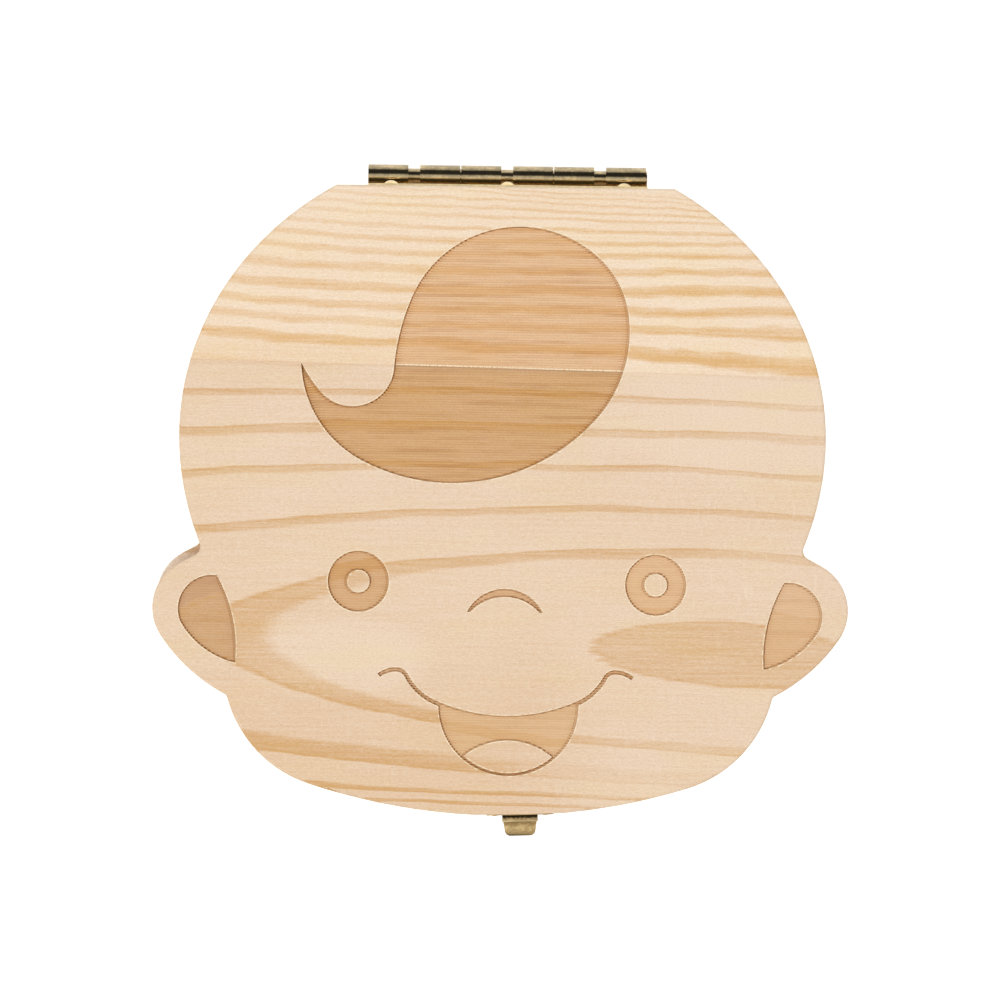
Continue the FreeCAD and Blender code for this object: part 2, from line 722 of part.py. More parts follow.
def compartments():
    """Two trays with round corners inside the arches, one above the other."""
    trays = []
    for way in (1, -1):
        near = ARCH_Y + way * COMPARTMENT_WALL / 2
        far = near + way * COMPARTMENT_WIDTH
        half = COMPARTMENT_LENGTH / 2
        heights = (BASE_THICKNESS - COMPARTMENT_DEPTH, BASE_THICKNESS + OVERSHOOT)
        tray = block((-half, half), sorted((near, far)), heights)
        trays.append(rounded(tray, COMPARTMENT_CORNER, lambda edge: along(edge, Vector(0, 0, 1))))
    return trays


def base_block():
    """The hollowed base, with its nail holes and the flat for the clasp."""
    solid = slab(0, BASE_THICKNESS, BASE_EAR_SLIP, EDGE_ROUND, PARTING_ROUND)
    solid = solid.cut(Part.Compound(tooth_pockets() + compartments()))
    solid = solid.cut(on_chin(clasp_seat())).cut(hinge_nail_holes(-1, NAIL_FIT))
    return solid.cut(on_chin(clasp_nail_holes(catch_nail_height(), NAIL_FIT)))


def build():
    whole_lid = lid()
    return {
        "lid_crown_board": whole_lid.common(seam_side(1)),
        "lid_face_board": whole_lid.common(seam_side(-1)),
        "base_block": base_block(),
        "hinge_lid_leaf": hinge_leaf(1),
        "hinge_base_leaf": hinge_leaf(-1),
        "hinge_pin": hinge_pin(),
        "hinge_lid_nails": hinge_nails(1),
        "hinge_base_nails": hinge_nails(-1),
        "clasp_top_plate": on_chin(clasp_top_plate()),
        "clasp_hasp": on_chin(clasp_hasp()),
        "clasp_pin": on_chin(clasp_pin()),
        "clasp_catch_plate": on_chin(clasp_catch_plate()),
        "clasp_top_nails": on_chin(clasp_nails(top_nail_height())),
        "clasp_catch_nails": on_chin(clasp_nails(catch_nail_height())),
    }


os.makedirs("parts", exist_ok=True)
for name, shape in build().items():
    shape.exportStep(f"parts/{name}.step")
    print(name, "solids", len(shape.Solids), "valid", shape.isValid(), "volume", round(shape.Volume, 2))
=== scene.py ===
"""Finishes the baby tooth box: pine boards, scorched engraving, antique brass and a white stage."""
import json
import math

import bpy
import numpy as np
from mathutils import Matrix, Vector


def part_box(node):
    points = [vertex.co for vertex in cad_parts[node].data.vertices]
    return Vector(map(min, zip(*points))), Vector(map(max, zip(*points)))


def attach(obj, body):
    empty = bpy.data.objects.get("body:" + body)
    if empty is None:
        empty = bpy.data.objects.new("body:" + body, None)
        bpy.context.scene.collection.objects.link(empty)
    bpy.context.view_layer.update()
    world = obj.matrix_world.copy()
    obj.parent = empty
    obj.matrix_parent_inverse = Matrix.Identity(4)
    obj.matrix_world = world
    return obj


bl_info = {
    "name": "Baby tooth box finish",
    "version": (1, 0, 0),
    "blender": (4, 5, 0),
    "location": "View3D > Sidebar > Tooth box",
    "description": "Pine grain, scorched engraving, antique brass and stage for a wooden tooth box",
    "category": "Object",
}

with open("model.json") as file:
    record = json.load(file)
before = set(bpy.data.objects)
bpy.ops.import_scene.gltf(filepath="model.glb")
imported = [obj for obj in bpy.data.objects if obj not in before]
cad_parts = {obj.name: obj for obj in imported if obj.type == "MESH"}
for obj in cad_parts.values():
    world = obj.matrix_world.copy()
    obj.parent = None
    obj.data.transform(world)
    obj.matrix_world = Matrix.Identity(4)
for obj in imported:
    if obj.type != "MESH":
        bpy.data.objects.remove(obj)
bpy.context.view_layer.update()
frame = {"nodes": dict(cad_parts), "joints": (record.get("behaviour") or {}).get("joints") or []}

MM = 0.001
LID_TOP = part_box("lid_face_board")[1].z / MM
LID_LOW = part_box("lid_face_board")[0].z / MM

# The glue line between the lid's two boards, in millimetres and degrees: its place and tilt, half its
# width, and how near to it an edge belongs to it
SEAM_Y = 23.25
SEAM_TILT = -1.0
SEAM_SLOPE = math.tan(math.radians(SEAM_TILT))
SEAM_HALF = 0.03
ON_SEAM = 0.02

# Where each engraved figure lies in the plan, in millimetres: left, right, low, high
FIGURES = {
    "hair": (-40.0, 30.0, 2.0, 48.0),
    "left_eye": (-33.0, -17.0, -22.0, -7.0),
    "right_eye": (19.0, 35.0, -22.0, -7.0),
    "nose": (-8.0, 10.0, -22.0, -13.0),
    "mouth": (-30.0, 32.0, -52.0, -24.0),
    "left_ear": (-60.0, -40.0, -34.0, -10.0),
    "right_ear": (40.0, 60.0, -34.0, -10.0),
}

# How well the dark rings under each figure resist the laser's brown film. Below 0, they take more of it
HAIR_RESISTS = 0.05
FACE_RESISTS = {
    "left_eye": -0.4,
    "right_eye": 0.0,
    "nose": 0.0,
    "mouth": 0.0,
    "left_ear": 1.5,
    "right_ear": 0.3,
}
# Where the curl of hair ends in a burnt point, how far the burn fades in and how strong it is
HAIR_TIP = (-35.0, 24.1)
TIP_FADE = (3.4, 0.8)
TIP_BURN = 0.8
# Just under the glue line the hair is darker: two fades, each from, to and strength
UNDER_SEAM = ((-1.6, -0.1, 0.2), (-0.4, -0.2, 0.4))
# The glue's pale line: its middle over the seam, the fade of its edges, and the noise that breaks it
GLUE_MIDDLE = 0.1
GLUE_EDGES = (0.16, 0.08)
GLUE_DOTS_PER_MM = 2.2
GLUE_DOTS_PLANE = 3.0
GLUE_BREAKS = (0.3, 0.55)

# Growth rings cut by the face board: radius from the pith, darkness, width of the tan band inside it
# and width of the dark line on its outer side
FACE_RINGS = (
    (31.5, 0.50, 1.2, 0.08),
    (35.5, 0.50, 1.3, 0.08),
    (39.3, 0.73, 3.0, 0.04),
    (43.0, 0.85, 0.75, 0.14),
    (46.6, 0.82, 0.70, 0.16),
    (50.9, 0.80, 0.80, 0.26),
    (55.4, 0.82, 1.20, 0.32),
    (59.5, 0.80, 1.05, 0.32),
    (63.5, 0.38, 0.95, 0.32),
)
# The chin has rings of its own: a wide one that thins out to the right, and three narrow ones
CHIN_BAND = ((46.12, 0.90, 1.35, 0.20),)
CHIN_RINGS = (
    (48.05, 1.00, 0.45, 0.16),
    (49.15, 0.95, 0.40, 0.16),
    (50.6, 0.40, 0.25, 0.12),
)
# Rings of the crown board: height of the lower side up the board, darkness, width of the golden band
# and width of its soft lower side
CROWN_RINGS = (
    (21.0, 0.25, 1.0, 0.3),
    (25.9, 1.00, 1.9, 0.3),
    (29.7, 0.78, 1.5, 0.2),
    (32.6, 0.88, 1.6, 0.3),
    (35.8, 0.92, 1.9, 0.2),
    (39.4, 0.80, 1.6, 0.2),
    (42.5, 0.72, 1.2, 0.2),
    (44.9, 0.68, 1.1, 0.2),
    (47.2, 0.58, 0.8, 0.15),
    (49.3, 0.50, 0.65, 0.1),
    (50.8, 0.50, 0.65, 0.1),
    (52.3, 0.50, 0.55, 0.1),
    (53.6, 0.42, 0.35, 0.1),
    (54.5, 0.42, 0.35, 0.1),
)
# A ramp is stored in 256 steps, so a few rings share one ramp and stay crisp
RINGS_PER_RAMP = 3

# Slow drifts of the grain, in millimetres: length along X, width across it, and amount
FACE_DRIFTS = ((24.0, 8.0, 1.7), (6.0, 2.5, 0.35))
FACE_EDGE_DRIFTS = ((14.0, 0.5, 0.18),)
CROWN_DRIFTS = ((16.0, 6.0, 1.5), (6.0, 3.0, 0.9))
BASE_DRIFTS = ((26.0, 9.0, 2.4),)
# The ring formulas count along X in this length, in millimetres
REACH = 60.0
# The face board's trunk: its middle line, its taper and how far that reaches, its skew, its pith's depth
TRUNK_LINE = (24.98, 1.777, 0.512)
TRUNK_TAPER = (233.8, 113.2, 59.7)
TAPER_REACH = 43.1
TRUNK_SKEW = 0.0102
FACE_PITH_DEPTH = 40.0
# The outer rings are paler at the right: how the edge tilts, where it lies, from which radius, how much
PALE_TILT = 0.7
PALE_PLACE = (32.0, 55.0)
PALE_RADII = (41.0, 43.0)
PALE_SHARE = 0.35
# The chin's rings: from which distance off the middle line and which radius, how they tilt along X,
# and where and how much the wide one fades
CHIN_SIDE = (-14.0, -17.0)
CHIN_RADII = (44.4, 44.8)
CHIN_BAND_TILT = 0.76
CHIN_RINGS_TILT = 1.5
CHIN_FADE = (-18.0, 12.0)
CHIN_FADE_SHARE = 0.6
# The crown board's rings: middle and half height of the fit, slope, bow and skew along X, fall with depth,
# and where and how much they are paler at the left
CROWN_MIDDLE = 40.0
CROWN_HALF = 15.0
CROWN_SLOPE = (0.25, 2.49)
CROWN_BOW = (0.31, 1.92, 1.94)
CROWN_SKEW = 1.22
CROWN_FALL = 0.4
CROWN_LEFT = (0.0, -28.0)
CROWN_LEFT_SHARE = 0.3
# The base's rings: tilt, pith and spacing in millimetres, fades of a ring's two sides, and darkness
BASE_TILT = 0.03
BASE_PITH_Y = 12.0
BASE_PITH_DEPTH = 46.0
BASE_SPACING = 4.6
BASE_RING_IN = (0.45, 0.92)
BASE_RING_OUT = (1.0, 0.94)
BASE_DARKNESS = 0.8

# Noise in the wood: features a millimetre along X and across it, detail, roughness
LONG_FIBRES = ((0.07, 2.3), 3.0, 0.6)
SHORT_FIBRES = ((0.9, 4.0), 2.0, 0.7)
PORES = ((2.4, 4.6), 2.0, 0.7)
FLECKS = ((2.2, 0.22), 1.0, 0.5)
FLECK_PLANE = 7.0
# Wide patches, dark and warm, in millimetres along X and across it
DARK_PATCH = (30.0, 12.0)
WARM_PATCH = (20.0, 6.0)
WARM_PLANE = 4.0
WARM_RANGE = (0.45, 0.7)
# How much each of these darkens the wood, and how dark it is at least
RING_SHARE = 0.85
RING_FIBRES = 0.9
LONG_SHARE = 0.55
SHORT_SHARE = 0.85
PATCH_SHARE = 0.3
LEAST_SHARE = 0.14
PORE_SHARE = 0.45
# How much rings, long fibres and short fibres stand out of the wood
RING_HEIGHT = 0.6
LONG_HEIGHT = 0.3
SHORT_HEIGHT = 0.2

# Shades over a board: the fade along Y, the fade along X, and the share of darkness
CHIN_SHADE = ((-8.0, -48.0), (22.0, 2.0), 0.22)
BROW_SHADE = ((-5.0, 15.0), (5.0, 45.0), -0.19)
CROWN_SHADE = ((31.0, 24.0), (12.0, -12.0), 0.2)
FLECK_SHADE = ((-24.0, -16.0), (22.0, 34.0), 0.3)
FLECK_RANGE = (0.64, 0.76)
# The pale left cheek: its middle, half axes, fade and share
CHEEK_MIDDLE = (-29.0, -28.0)
CHEEK_AXES = (20.0, 8.5)
CHEEK_FADE = (1.0, 0.2)
CHEEK_SHARE = 0.22

# The solid's own engraved floor: how far it faces up, its depth, and its height over the lid's underside
SUNK_FACING = (0.9, 0.97)
SUNK_DEPTH = (0.2, 0.3)
SUNK_CLEARANCE = (1.0, 2.0)

# The laser's rows: streaks from row to row, grooves between rows, and darker ends in millimetres
STREAKS_PER_MM = 0.045
STREAKS_PER_ROW = 3.7
STREAK_RANGE = (0.45, 0.72)
STREAK_SHARE = 0.32
GROOVE_RANGE = (0.22, 0.46)
GROOVE_SHARE = 0.2
GROOVE_UNEVEN = 0.4
END_FADE = (1.7, 0.2)
END_SHARE = 0.5
# The scorch: the noise that breaks it, the spot that a row burns in a slanting wall, and the burnt ends.
# The rim: how much of it is pale, and where it starts
BREAKS_PER_MM = 1.1
BREAKS_PLANE = 5.0
SPOT_RANGE = (0.36, 0.16)
LINE_BREAKS = (0.1, 0.55)
BURNT_END = (0.2, 0.0)
END_BREAKS = (0.2, 0.6)
RIM_BREAKS = (0.36, 0.6)
RIM_SHARE = 0.75
RIM_EDGE = (0.3, 0.7)

# The laser's rows as meshes, in millimetres: where the border cuts a row, as a share of the pitch, the gap
# at a row's ends, the shortest row, and how far from a row's end the walls count
ROW_CROSSING = 0.34
ROW_GAP = 0.05
ROW_LEAST = 4 * ROW_GAP
FAR_FROM_END = 9.0
# A row's bar: stations along half of it and points across it, as shares, the length of its end, the share
# of a short half that its stations take, how far it stands over the floor and how far it is sunk under it
BAR_STATIONS = (0.0, 0.06, 0.14, 0.3, 0.6, 1.0)
BAR_ACROSS = (0.0, 0.25, 0.5, 0.75, 1.0)
BAR_END = 2.0
BAR_HALF_SHARE = 0.95
BAR_RISE = 0.02
BAR_SINK = 0.05
# Tolerances: height of a level triangle, decimals for welding, and the least length to divide by
LEVEL_TOLERANCE = 0.01
WELD_DECIMALS = 4
LEAST_LENGTH = 1e-9
# The band along a border: the wall's lip, its foot, its back under the wood, and the rim
LIP_INSET = 0.004
LIP_DROP = 0.006
FOOT_SINK = 0.03
BACK_OUTSET = 0.04
RIM_DROP = 0.003
RIM_OUTSET = 0.012
RIM_RISE = 0.006
# Walls at the right lean in farther. The burn of a wall, what its left, right and slanting parts add,
# how much the middle of a right wall fades, and how soon a wall counts as slanting
RIGHT_LEAN = 1.2
BURN = 0.34
BURN_LEFT = 0.45
BURN_RIGHT = 0.1
BURN_SLANT = 0.4
RIGHT_MIDDLE_FADE = 0.6
SLANT_GAIN = 2.4

# Brass: features a millimetre of the clouds and specks in its film, and how they mix
BRASS_CLOUDS = ((0.55, 0.9), 3.0, 0.6)
BRASS_SPECKS = ((2.6, 2.6), 3.0, 0.65)
CLOUD_SHARE = 0.6
WORN_RANGE = (0.36, 0.58)
# The hinge's film, patina worn through in patches and on the knuckles' outer side a painted reflection:
# the share that is worn in patches, where the outer side starts, in millimetres from the pin's middle, and
# how much it roughens the brass
HINGE_WORN_SHARE = 0.4
HINGE_OUTER = (-0.6, 0.4)
HINGE_ROUGHENS = 0.07
# The clasp's painted shade, in millimetres: its middle before the pin, its edge and the specks on it, its
# reach along the lip and its share there, and how much the film roughens the brass
SHADE_BEFORE_PIN = 0.4
SHADE_EDGE = (1.15, 0.95)
SHADE_SPECKS = 0.5
LIP_SHADE = 0.6
LIP_SHADE_SHARE = 0.8
CLASP_ROUGHENS = 0.12

# Soft boxes: name, place and size in metres, and watts
LAMPS = (("key", (-0.9, -0.7, 1.5), 0.9, 13.0), ("fill", (1.1, 0.8, 1.3), 0.9, 6.5))
WHITE = (1.0, 1.0, 1.0, 1.0)
# The stage's floor, in metres: colour, own light, half width, height, and how near a ray passes through it
STAGE_GREY = (0.8, 0.8, 0.8, 1.0)
STAGE_GLOW = 0.6
STAGE_HALF = 3.0
STAGE_Z = -0.05 * MM
STAGE_CLEAR_WITHIN = 0.3 * MM
# Towards the middle of the dark patch of the studio's ceiling, halfway down the back, its edge as the
# cosine of the angle from there, and how dark it is
DARK_SIDE = (0.0, math.sqrt(0.5), math.sqrt(0.5))
DARK_EDGE = (0.84, 0.955)
DARK_SHARE = 0.95


def srgb(red, green, blue):
    """A colour given as eight-bit display values, as the linear colour that Blender stores."""
    shares = np.array((red, green, blue)) / 255.0
    linear = np.where(shares <= 0.04045, shares / 12.92, ((shares + 0.055) / 1.055) ** 2.4)
    return tuple(float(value) for value in linear)


def opaque(colour):
    """A colour with full alpha."""
    return (*colour, 1.0)


def colour_property(name, description, red, green, blue):
    return bpy.props.FloatVectorProperty(
        name=name, description=description, subtype="COLOR", size=3, min=0.0, max=1.0,
        default=srgb(red, green, blue))


def film_property(place, red, green, blue):
    return colour_property(f"{place} film", f"Brown film on the {place.lower()}", red, green, blue)


def length_property(name, description, millimetres):
    return bpy.props.FloatProperty(
        name=name, description=description, unit="LENGTH", min=0.0, precision=5,
        default=millimetres * MM)


def share_property(name, description, default):
    return bpy.props.FloatProperty(
        name=name, description=description, subtype="FACTOR", min=0.0, max=1.0, default=default)


class PineSettings(bpy.types.PropertyGroup):
    """Colours and roughness of the pine."""
    earlywood: colour_property("Earlywood", "Pale wood of the face board", 235, 211, 186)
    latewood: colour_property("Latewood", "Dark side of a ring of the face board", 211, 165, 110)
    crown_earlywood: colour_property("Crown earlywood", "Pale wood of the crown board", 244, 224, 200)
    crown_latewood: colour_property("Crown latewood", "Golden side of a crown board's ring", 224, 180, 124)
    base_earlywood: colour_property("Base earlywood", "Pale wood of the base", 236, 220, 203)
    base_latewood: colour_property("Base latewood", "Dark side of a ring of the base", 212, 178, 138)
    warm_tint: colour_property("Warm tint", "Tint of the wood's warm patches", 255, 255, 248)
    roughness: share_property("Roughness", "Sanded, unvarnished wood", 0.62)


class EngravingSettings(bpy.types.PropertyGroup):
    """The laser's rows and scorch."""
    depth: length_property("Depth", "How deep the figures are sunk", 0.45)
    pitch: length_property("Row pitch", "Distance between two passes of the laser", 0.44)
    ridge: length_property("Ridge", "Height of the ridge between two rows", 0.05)
    draft: length_property("Wall foot", "How far the scorched wall leans in at its foot", 0.26)
    rim: length_property("Rim", "Width of the pale fibres along the figures", 0.34)
    fibres: colour_property("Fibres", "Pale fibres along the figures", 252, 233, 202)
    scorch: colour_property("Scorch", "Burnt wood at the ends of the rows", 136, 80, 8)
    film: share_property("Film", "How much of the face board's grain the brown film hides", 0.66)
    rows: share_property("Rows", "How strongly the laser's rows show on the face", 0.45)
    hair_film: share_property("Hair film", "How much of the grain the film on the hair hides", 0.62)
    hair_rows: share_property("Hair rows", "How strongly the laser's rows show on the hair", 1.0)
    crown_film: colour_property("Crown film", "Brown film on the hair above the glue line", 222, 171, 117)
    brow_film: colour_property("Brow film", "Brown film on the hair below the glue line", 203, 147, 72)
    left_eye_film: film_property("Left eye", 208, 157, 99)
    right_eye_film: film_property("Right eye", 225, 180, 131)
    nose_film: film_property("Nose", 216, 169, 118)
    mouth_film: film_property("Mouth", 221, 179, 130)
    left_ear_film: film_property("Left ear", 190, 138, 86)
    right_ear_film: film_property("Right ear", 223, 181, 136)
    row_tint: colour_property("Row tint", "What the laser's rows darken the wood by", 196, 158, 110)


class BrassSettings(bpy.types.PropertyGroup):
    """Antique brass of the hinge and the clasp."""
    bright: colour_property("Bright brass", "Worn brass of the hinge", 234, 208, 158)
    # Patina in patches, and on the knuckles' outer side a painted reflection
    patina_and_reflection: colour_property("Patina", "Brown film on the hinge", 148, 134, 106)
    clasp_bright: colour_property("Clasp brass", "Worn brass of the clasp", 196, 172, 124)
    clasp_patina: colour_property("Clasp patina", "Brown film on the clasp", 158, 134, 92)
    # Painted shade: black painted round the clasp's knuckle and along the lip's tip, where shade falls
    painted_shade: colour_property("Grime", "Black film in the clasp's knuckle", 44, 36, 24)
    roughness: share_property("Roughness", "Roughness of the hinge's worn brass", 0.08)
    clasp_roughness: share_property("Clasp roughness", "Roughness of the clasp's worn brass", 0.36)


class StageSettings(bpy.types.PropertyGroup):
    """Camera and even light."""
    camera_height: length_property("Camera height", "Lens above the lid", 1200.0)
    frame_width: length_property("Frame width", "Width of the picture at the lid", 175.7)
    camera_x: bpy.props.FloatProperty(
        name="Camera X", description="Sideways place of the lens", unit="LENGTH", default=-0.19 * MM)
    camera_roll: bpy.props.FloatProperty(
        name="Camera roll", description="Turn of the picture", subtype="ANGLE", default=0.0138)
    sky: share_property("Sky", "Strength of the even light from all round", 0.62)


# Shader sums


class Wire:
    """A socket of a material that takes part in Python sums: each sum adds a Math node."""

    def __init__(self, tree, socket=None):
        self.tree = tree
        self.socket = socket

    def node(self, kind, settings=None, sockets=None, output=0):
        """Any other node: settings are set first, then the values or links of its sockets."""
        made = self.tree.nodes.new(kind)
        for name, value in (settings or {}).items():
            if name == "stops":
                lay_stops(made.color_ramp, value)
            else:
                setattr(made, name, value)
        for name, value in (sockets or {}).items():
            if isinstance(value, Wire):
                self.tree.links.new(value.socket, made.inputs[name])
            else:
                made.inputs[name].default_value = value
        return Wire(self.tree, made.outputs[output])

    def maths(self, operation, *values):
        return self.node("ShaderNodeMath", {"operation": operation}, dict(enumerate(values)))

    def __add__(self, other):
        return self.maths("ADD", self, other)

    def __sub__(self, other):
        return self.maths("SUBTRACT", self, other)

    def __rsub__(self, other):
        return self.maths("SUBTRACT", other, self)

    def __mul__(self, other):
        return self.maths("MULTIPLY", self, other)

    def __truediv__(self, other):
        return self.maths("DIVIDE", self, other)

    def __abs__(self):
        return self.maths("ABSOLUTE", self)

    __radd__ = __add__
    __rmul__ = __mul__


def lay_stops(ramp, stops):
    """Sets a ramp's stops, each a place and a grey value."""
    while len(ramp.elements) < len(stops):
        ramp.elements.new(1.0)
    for element, (place, grey) in zip(ramp.elements, stops):
        element.position = place
        element.color = (grey, grey, grey, 1.0)


def between(wire, value, low, high):
    """0 below low, 1 above high, and a smooth step between them. Low may be above high."""
    settings = {"interpolation_type": "SMOOTHSTEP"}
    return wire.node("ShaderNodeMapRange", settings, {"Value": value, "From Min": low, "From Max": high})


def mixed(wire, factor, first, second, blend="MIX"):
    """One colour over another."""
    settings = {"data_type": "RGBA", "blend_type": blend}
    return wire.node("ShaderNodeMix", settings, {0: factor, 6: first, 7: second}, 2)


def vector(wire, x, y, z):
    """Three values as one vector."""
    return wire.node("ShaderNodeCombineXYZ", None, {0: x, 1: y, 2: z})


def noise(wire, place, detail=2.0, roughness=0.5):
    """Noise from 0 to 1 with its features about one unit of place apart."""
    sockets = {"Vector": place, "Scale": 1.0, "Detail": detail, "Roughness": roughness}
    return wire.node("ShaderNodeTexNoise", None, sockets)


def stretched_noise(wire, x, y, z, features, plane=0.0):
    """Noise with so many features a millimetre along X and across it. Another plane is another noise."""
    (along, across), detail, roughness = features
    return noise(wire, vector(wire, x * along, y * across, z * across + plane), detail, roughness)


def patch_noise(wire, x, y, z, size, plane=0.0):
    """Noise with patches so many millimetres long along X and wide across it."""
    length, width = size
    return noise(wire, vector(wire, x / length, y / width, z / width + plane))


def clamped(wire, value):
    """A value held between 0 and 1."""
    return wire.node("ShaderNodeClamp", None, {0: value})


def place_in_millimetres(wire):
    """X, Y and Z of the surface in the part's frame."""
    place = wire.node("ShaderNodeTexCoord", output="Object")
    scaled = wire.node("ShaderNodeVectorMath", {"operation": "SCALE"}, {0: place, "Scale": 1.0 / MM})
    split = wire.node("ShaderNodeSeparateXYZ", None, {0: scaled})
    return [Wire(wire.tree, socket) for socket in split.socket.node.outputs]


def new_material(name):
    """An empty material with its principled shader, and a wire to build with."""
    made = bpy.data.materials.new(name)
    made.use_nodes = True
    shader = made.node_tree.nodes["Principled BSDF"]
    return made, shader, Wire(made.node_tree)


def plug(shader, sockets):
    """Links or sets sockets of a shader."""
    for name, value in sockets.items():
        if isinstance(value, Wire):
            value.tree.links.new(value.socket, shader.inputs[name])
        else:
            shader.inputs[name].default_value = value


# Pine


def face_profile(band, line):
    """Darkness inwards from a ring of the face board: a tan band, a dark line, a sharp end."""
    return (band, 0.0), (0.75 * band, 0.62), (line, 0.66), (0.3 * line, 1.0), (-0.06, 0.0)


def crown_profile(band, soft):
    """Darkness up from a ring of the crown board: a soft lower side, a golden band, a sharp upper side."""
    return (-soft, 0.0), (0.15 * band, 0.75), (0.42 * band, 1.0), (0.9 * band, 0.6), (1.05 * band, 0.0)


def ring_tone(wire, place, rings, profile, way):
    """Darkness at a place across the rings, each with a profile that runs in the given way, 1 or -1."""
    parts = []
    for first in range(0, len(rings), RINGS_PER_RAMP):
        stops = sorted((ring + way * away, share * darkness)
                       for ring, darkness, band, edge in rings[first:first + RINGS_PER_RAMP]
                       for away, share in profile(band, edge))
        low, high = stops[0][0], stops[-1][0]
        laid = [((spot - low) / (high - low), grey) for spot, grey in stops]
        parts.append(wire.node("ShaderNodeValToRGB", {"stops": laid}, {0: (place - low) / (high - low)}))
    return added(parts)


def added(parts):
    """The sum of several values."""
    total = parts[0]
    for part in parts[1:]:
        total = total + part
    return total


def wander(wire, x, y, z, drifts):
    """Slow drifts of the grain, each longer along the fibres than across them."""
    return added([
        (noise(wire, vector(wire, x / length, y / width, z / width), detail=1.0) - 0.5) * amount
        for length, width, amount in drifts])


def face_board_rings(wire, x, y, z):
    """Rings of the face board: a tapering trunk cut along its side.

    The radius is sqrt(off^2 + cut^2 - lean - TRUNK_SKEW a off |off|), where a is x / REACH, off the
    distance from the trunk's middle line, cut the pith's depth under the cut, and lean the trunk's
    taper along X, a (T0 - a (T1 + a T2)) exp(-off^2 / TAPER_REACH^2), with T for TRUNK_TAPER.
    """
    along = x / REACH
    off = (y + wander(wire, x, y, z, FACE_DRIFTS) + TRUNK_LINE[0] + along * TRUNK_LINE[1]
           + along * along * TRUNK_LINE[2])
    fall = wire.maths("EXPONENT", off * off * (-1.0 / TAPER_REACH ** 2))
    lean = along * (TRUNK_TAPER[0] - along * (TRUNK_TAPER[1] + along * TRUNK_TAPER[2])) * fall
    cut = z + (FACE_PITH_DEPTH - LID_TOP)
    radius = wire.maths("SQRT", off * off + cut * cut - lean - along * off * abs(off) * TRUNK_SKEW)
    radius = radius + wander(wire, x, y, z, FACE_EDGE_DRIFTS)
    tone = ring_tone(wire, radius, FACE_RINGS, face_profile, -1)
    pale = between(wire, x - y * PALE_TILT, *PALE_PLACE) * between(wire, radius, *PALE_RADII) * PALE_SHARE
    return with_chin(wire, x, off, radius, tone) * (1.0 - pale)


def with_chin(wire, x, off, radius, tone):
    """The trunk's tone, with the chin's own rings in place of the outer ones below its middle line."""
    along = x / REACH
    at_chin = between(wire, off, *CHIN_SIDE)
    band = ring_tone(wire, radius + along * CHIN_BAND_TILT, CHIN_BAND, face_profile, -1)
    band = band * (1.0 - between(wire, x, *CHIN_FADE) * CHIN_FADE_SHARE)
    narrow = ring_tone(wire, radius + along * CHIN_RINGS_TILT, CHIN_RINGS, face_profile, -1)
    above = tone * (1.0 - at_chin * between(wire, radius, *CHIN_RADII))
    return wire.maths("MAXIMUM", above, wire.maths("MAXIMUM", band, narrow) * at_chin)


def crown_board_rings(wire, x, y, z):
    """Rings of the crown board: nearly straight lines that bow a little along X.

    With a = x / REACH, a ring's height is y + a (slope + a (bow + CROWN_SKEW a)), where slope and bow
    change with the square of the height over the board's middle.
    """
    along = x / REACH
    up = (y - CROWN_MIDDLE) / CROWN_HALF
    slope = up * CROWN_SLOPE[0] + up * up * CROWN_SLOPE[1]
    bow = up * CROWN_BOW[0] + up * up * CROWN_BOW[1] - CROWN_BOW[2]
    curve = along * (slope + along * (bow + along * CROWN_SKEW))
    height = y + wander(wire, x, y, z, CROWN_DRIFTS) + curve + (z - LID_TOP) * CROWN_FALL
    fade = between(wire, x, *CROWN_LEFT) * CROWN_LEFT_SHARE
    return ring_tone(wire, height, CROWN_RINGS, crown_profile, 1) * (1.0 - fade)


def base_rings(wire, x, y, z):
    """Rings of the base: evenly spaced round a pith below the table."""
    off = y + wander(wire, x, y, z, BASE_DRIFTS) - x * BASE_TILT - BASE_PITH_Y
    deep = z + BASE_PITH_DEPTH
    radius = wire.maths("SQRT", off * off + deep * deep)
    spacing = wire.maths("FRACT", radius / BASE_SPACING)
    return between(wire, spacing, *BASE_RING_IN) * between(wire, spacing, *BASE_RING_OUT) * BASE_DARKNESS


def fibres(wire, x, y, z):
    """Fine streaks along X, long and short, about zero."""
    return [stretched_noise(wire, x, y, z, features) - 0.5 for features in (LONG_FIBRES, SHORT_FIBRES)]


def pine_colour(wire, x, y, z, rings, early, late, shade=0.0):
    """Wood colour from the rings, the fibres and the pores, and the height of its grain."""
    tint = opaque(bpy.context.scene.tooth_pine.warm_tint)
    tone = rings(wire, x, y, z)
    long, short = fibres(wire, x, y, z)
    patch = patch_noise(wire, x, y, z, DARK_PATCH) - 0.5
    share = (tone * (RING_SHARE + long * RING_FIBRES) + long * LONG_SHARE + short * SHORT_SHARE
             + patch * PATCH_SHARE + shade + LEAST_SHARE)
    colour = mixed(wire, clamped(wire, share), opaque(early), opaque(late))
    warm = between(wire, patch_noise(wire, x, y, z, WARM_PATCH, WARM_PLANE), *WARM_RANGE)
    colour = mixed(wire, warm, colour, mixed(wire, 1.0, colour, tint, "MULTIPLY"))
    pores = stretched_noise(wire, x, y, z, PORES) * PORE_SHARE + (1.0 - PORE_SHARE / 2)
    colour = mixed(wire, 1.0, colour, pores, "MULTIPLY")
    return colour, tone * RING_HEIGHT + long * LONG_HEIGHT + short * SHORT_HEIGHT


def shade_over(wire, x, y, shade):
    """A share of darkness that fades in along Y and along X."""
    along_y, along_x, share = shade
    return between(wire, y, *along_y) * between(wire, x, *along_x) * share


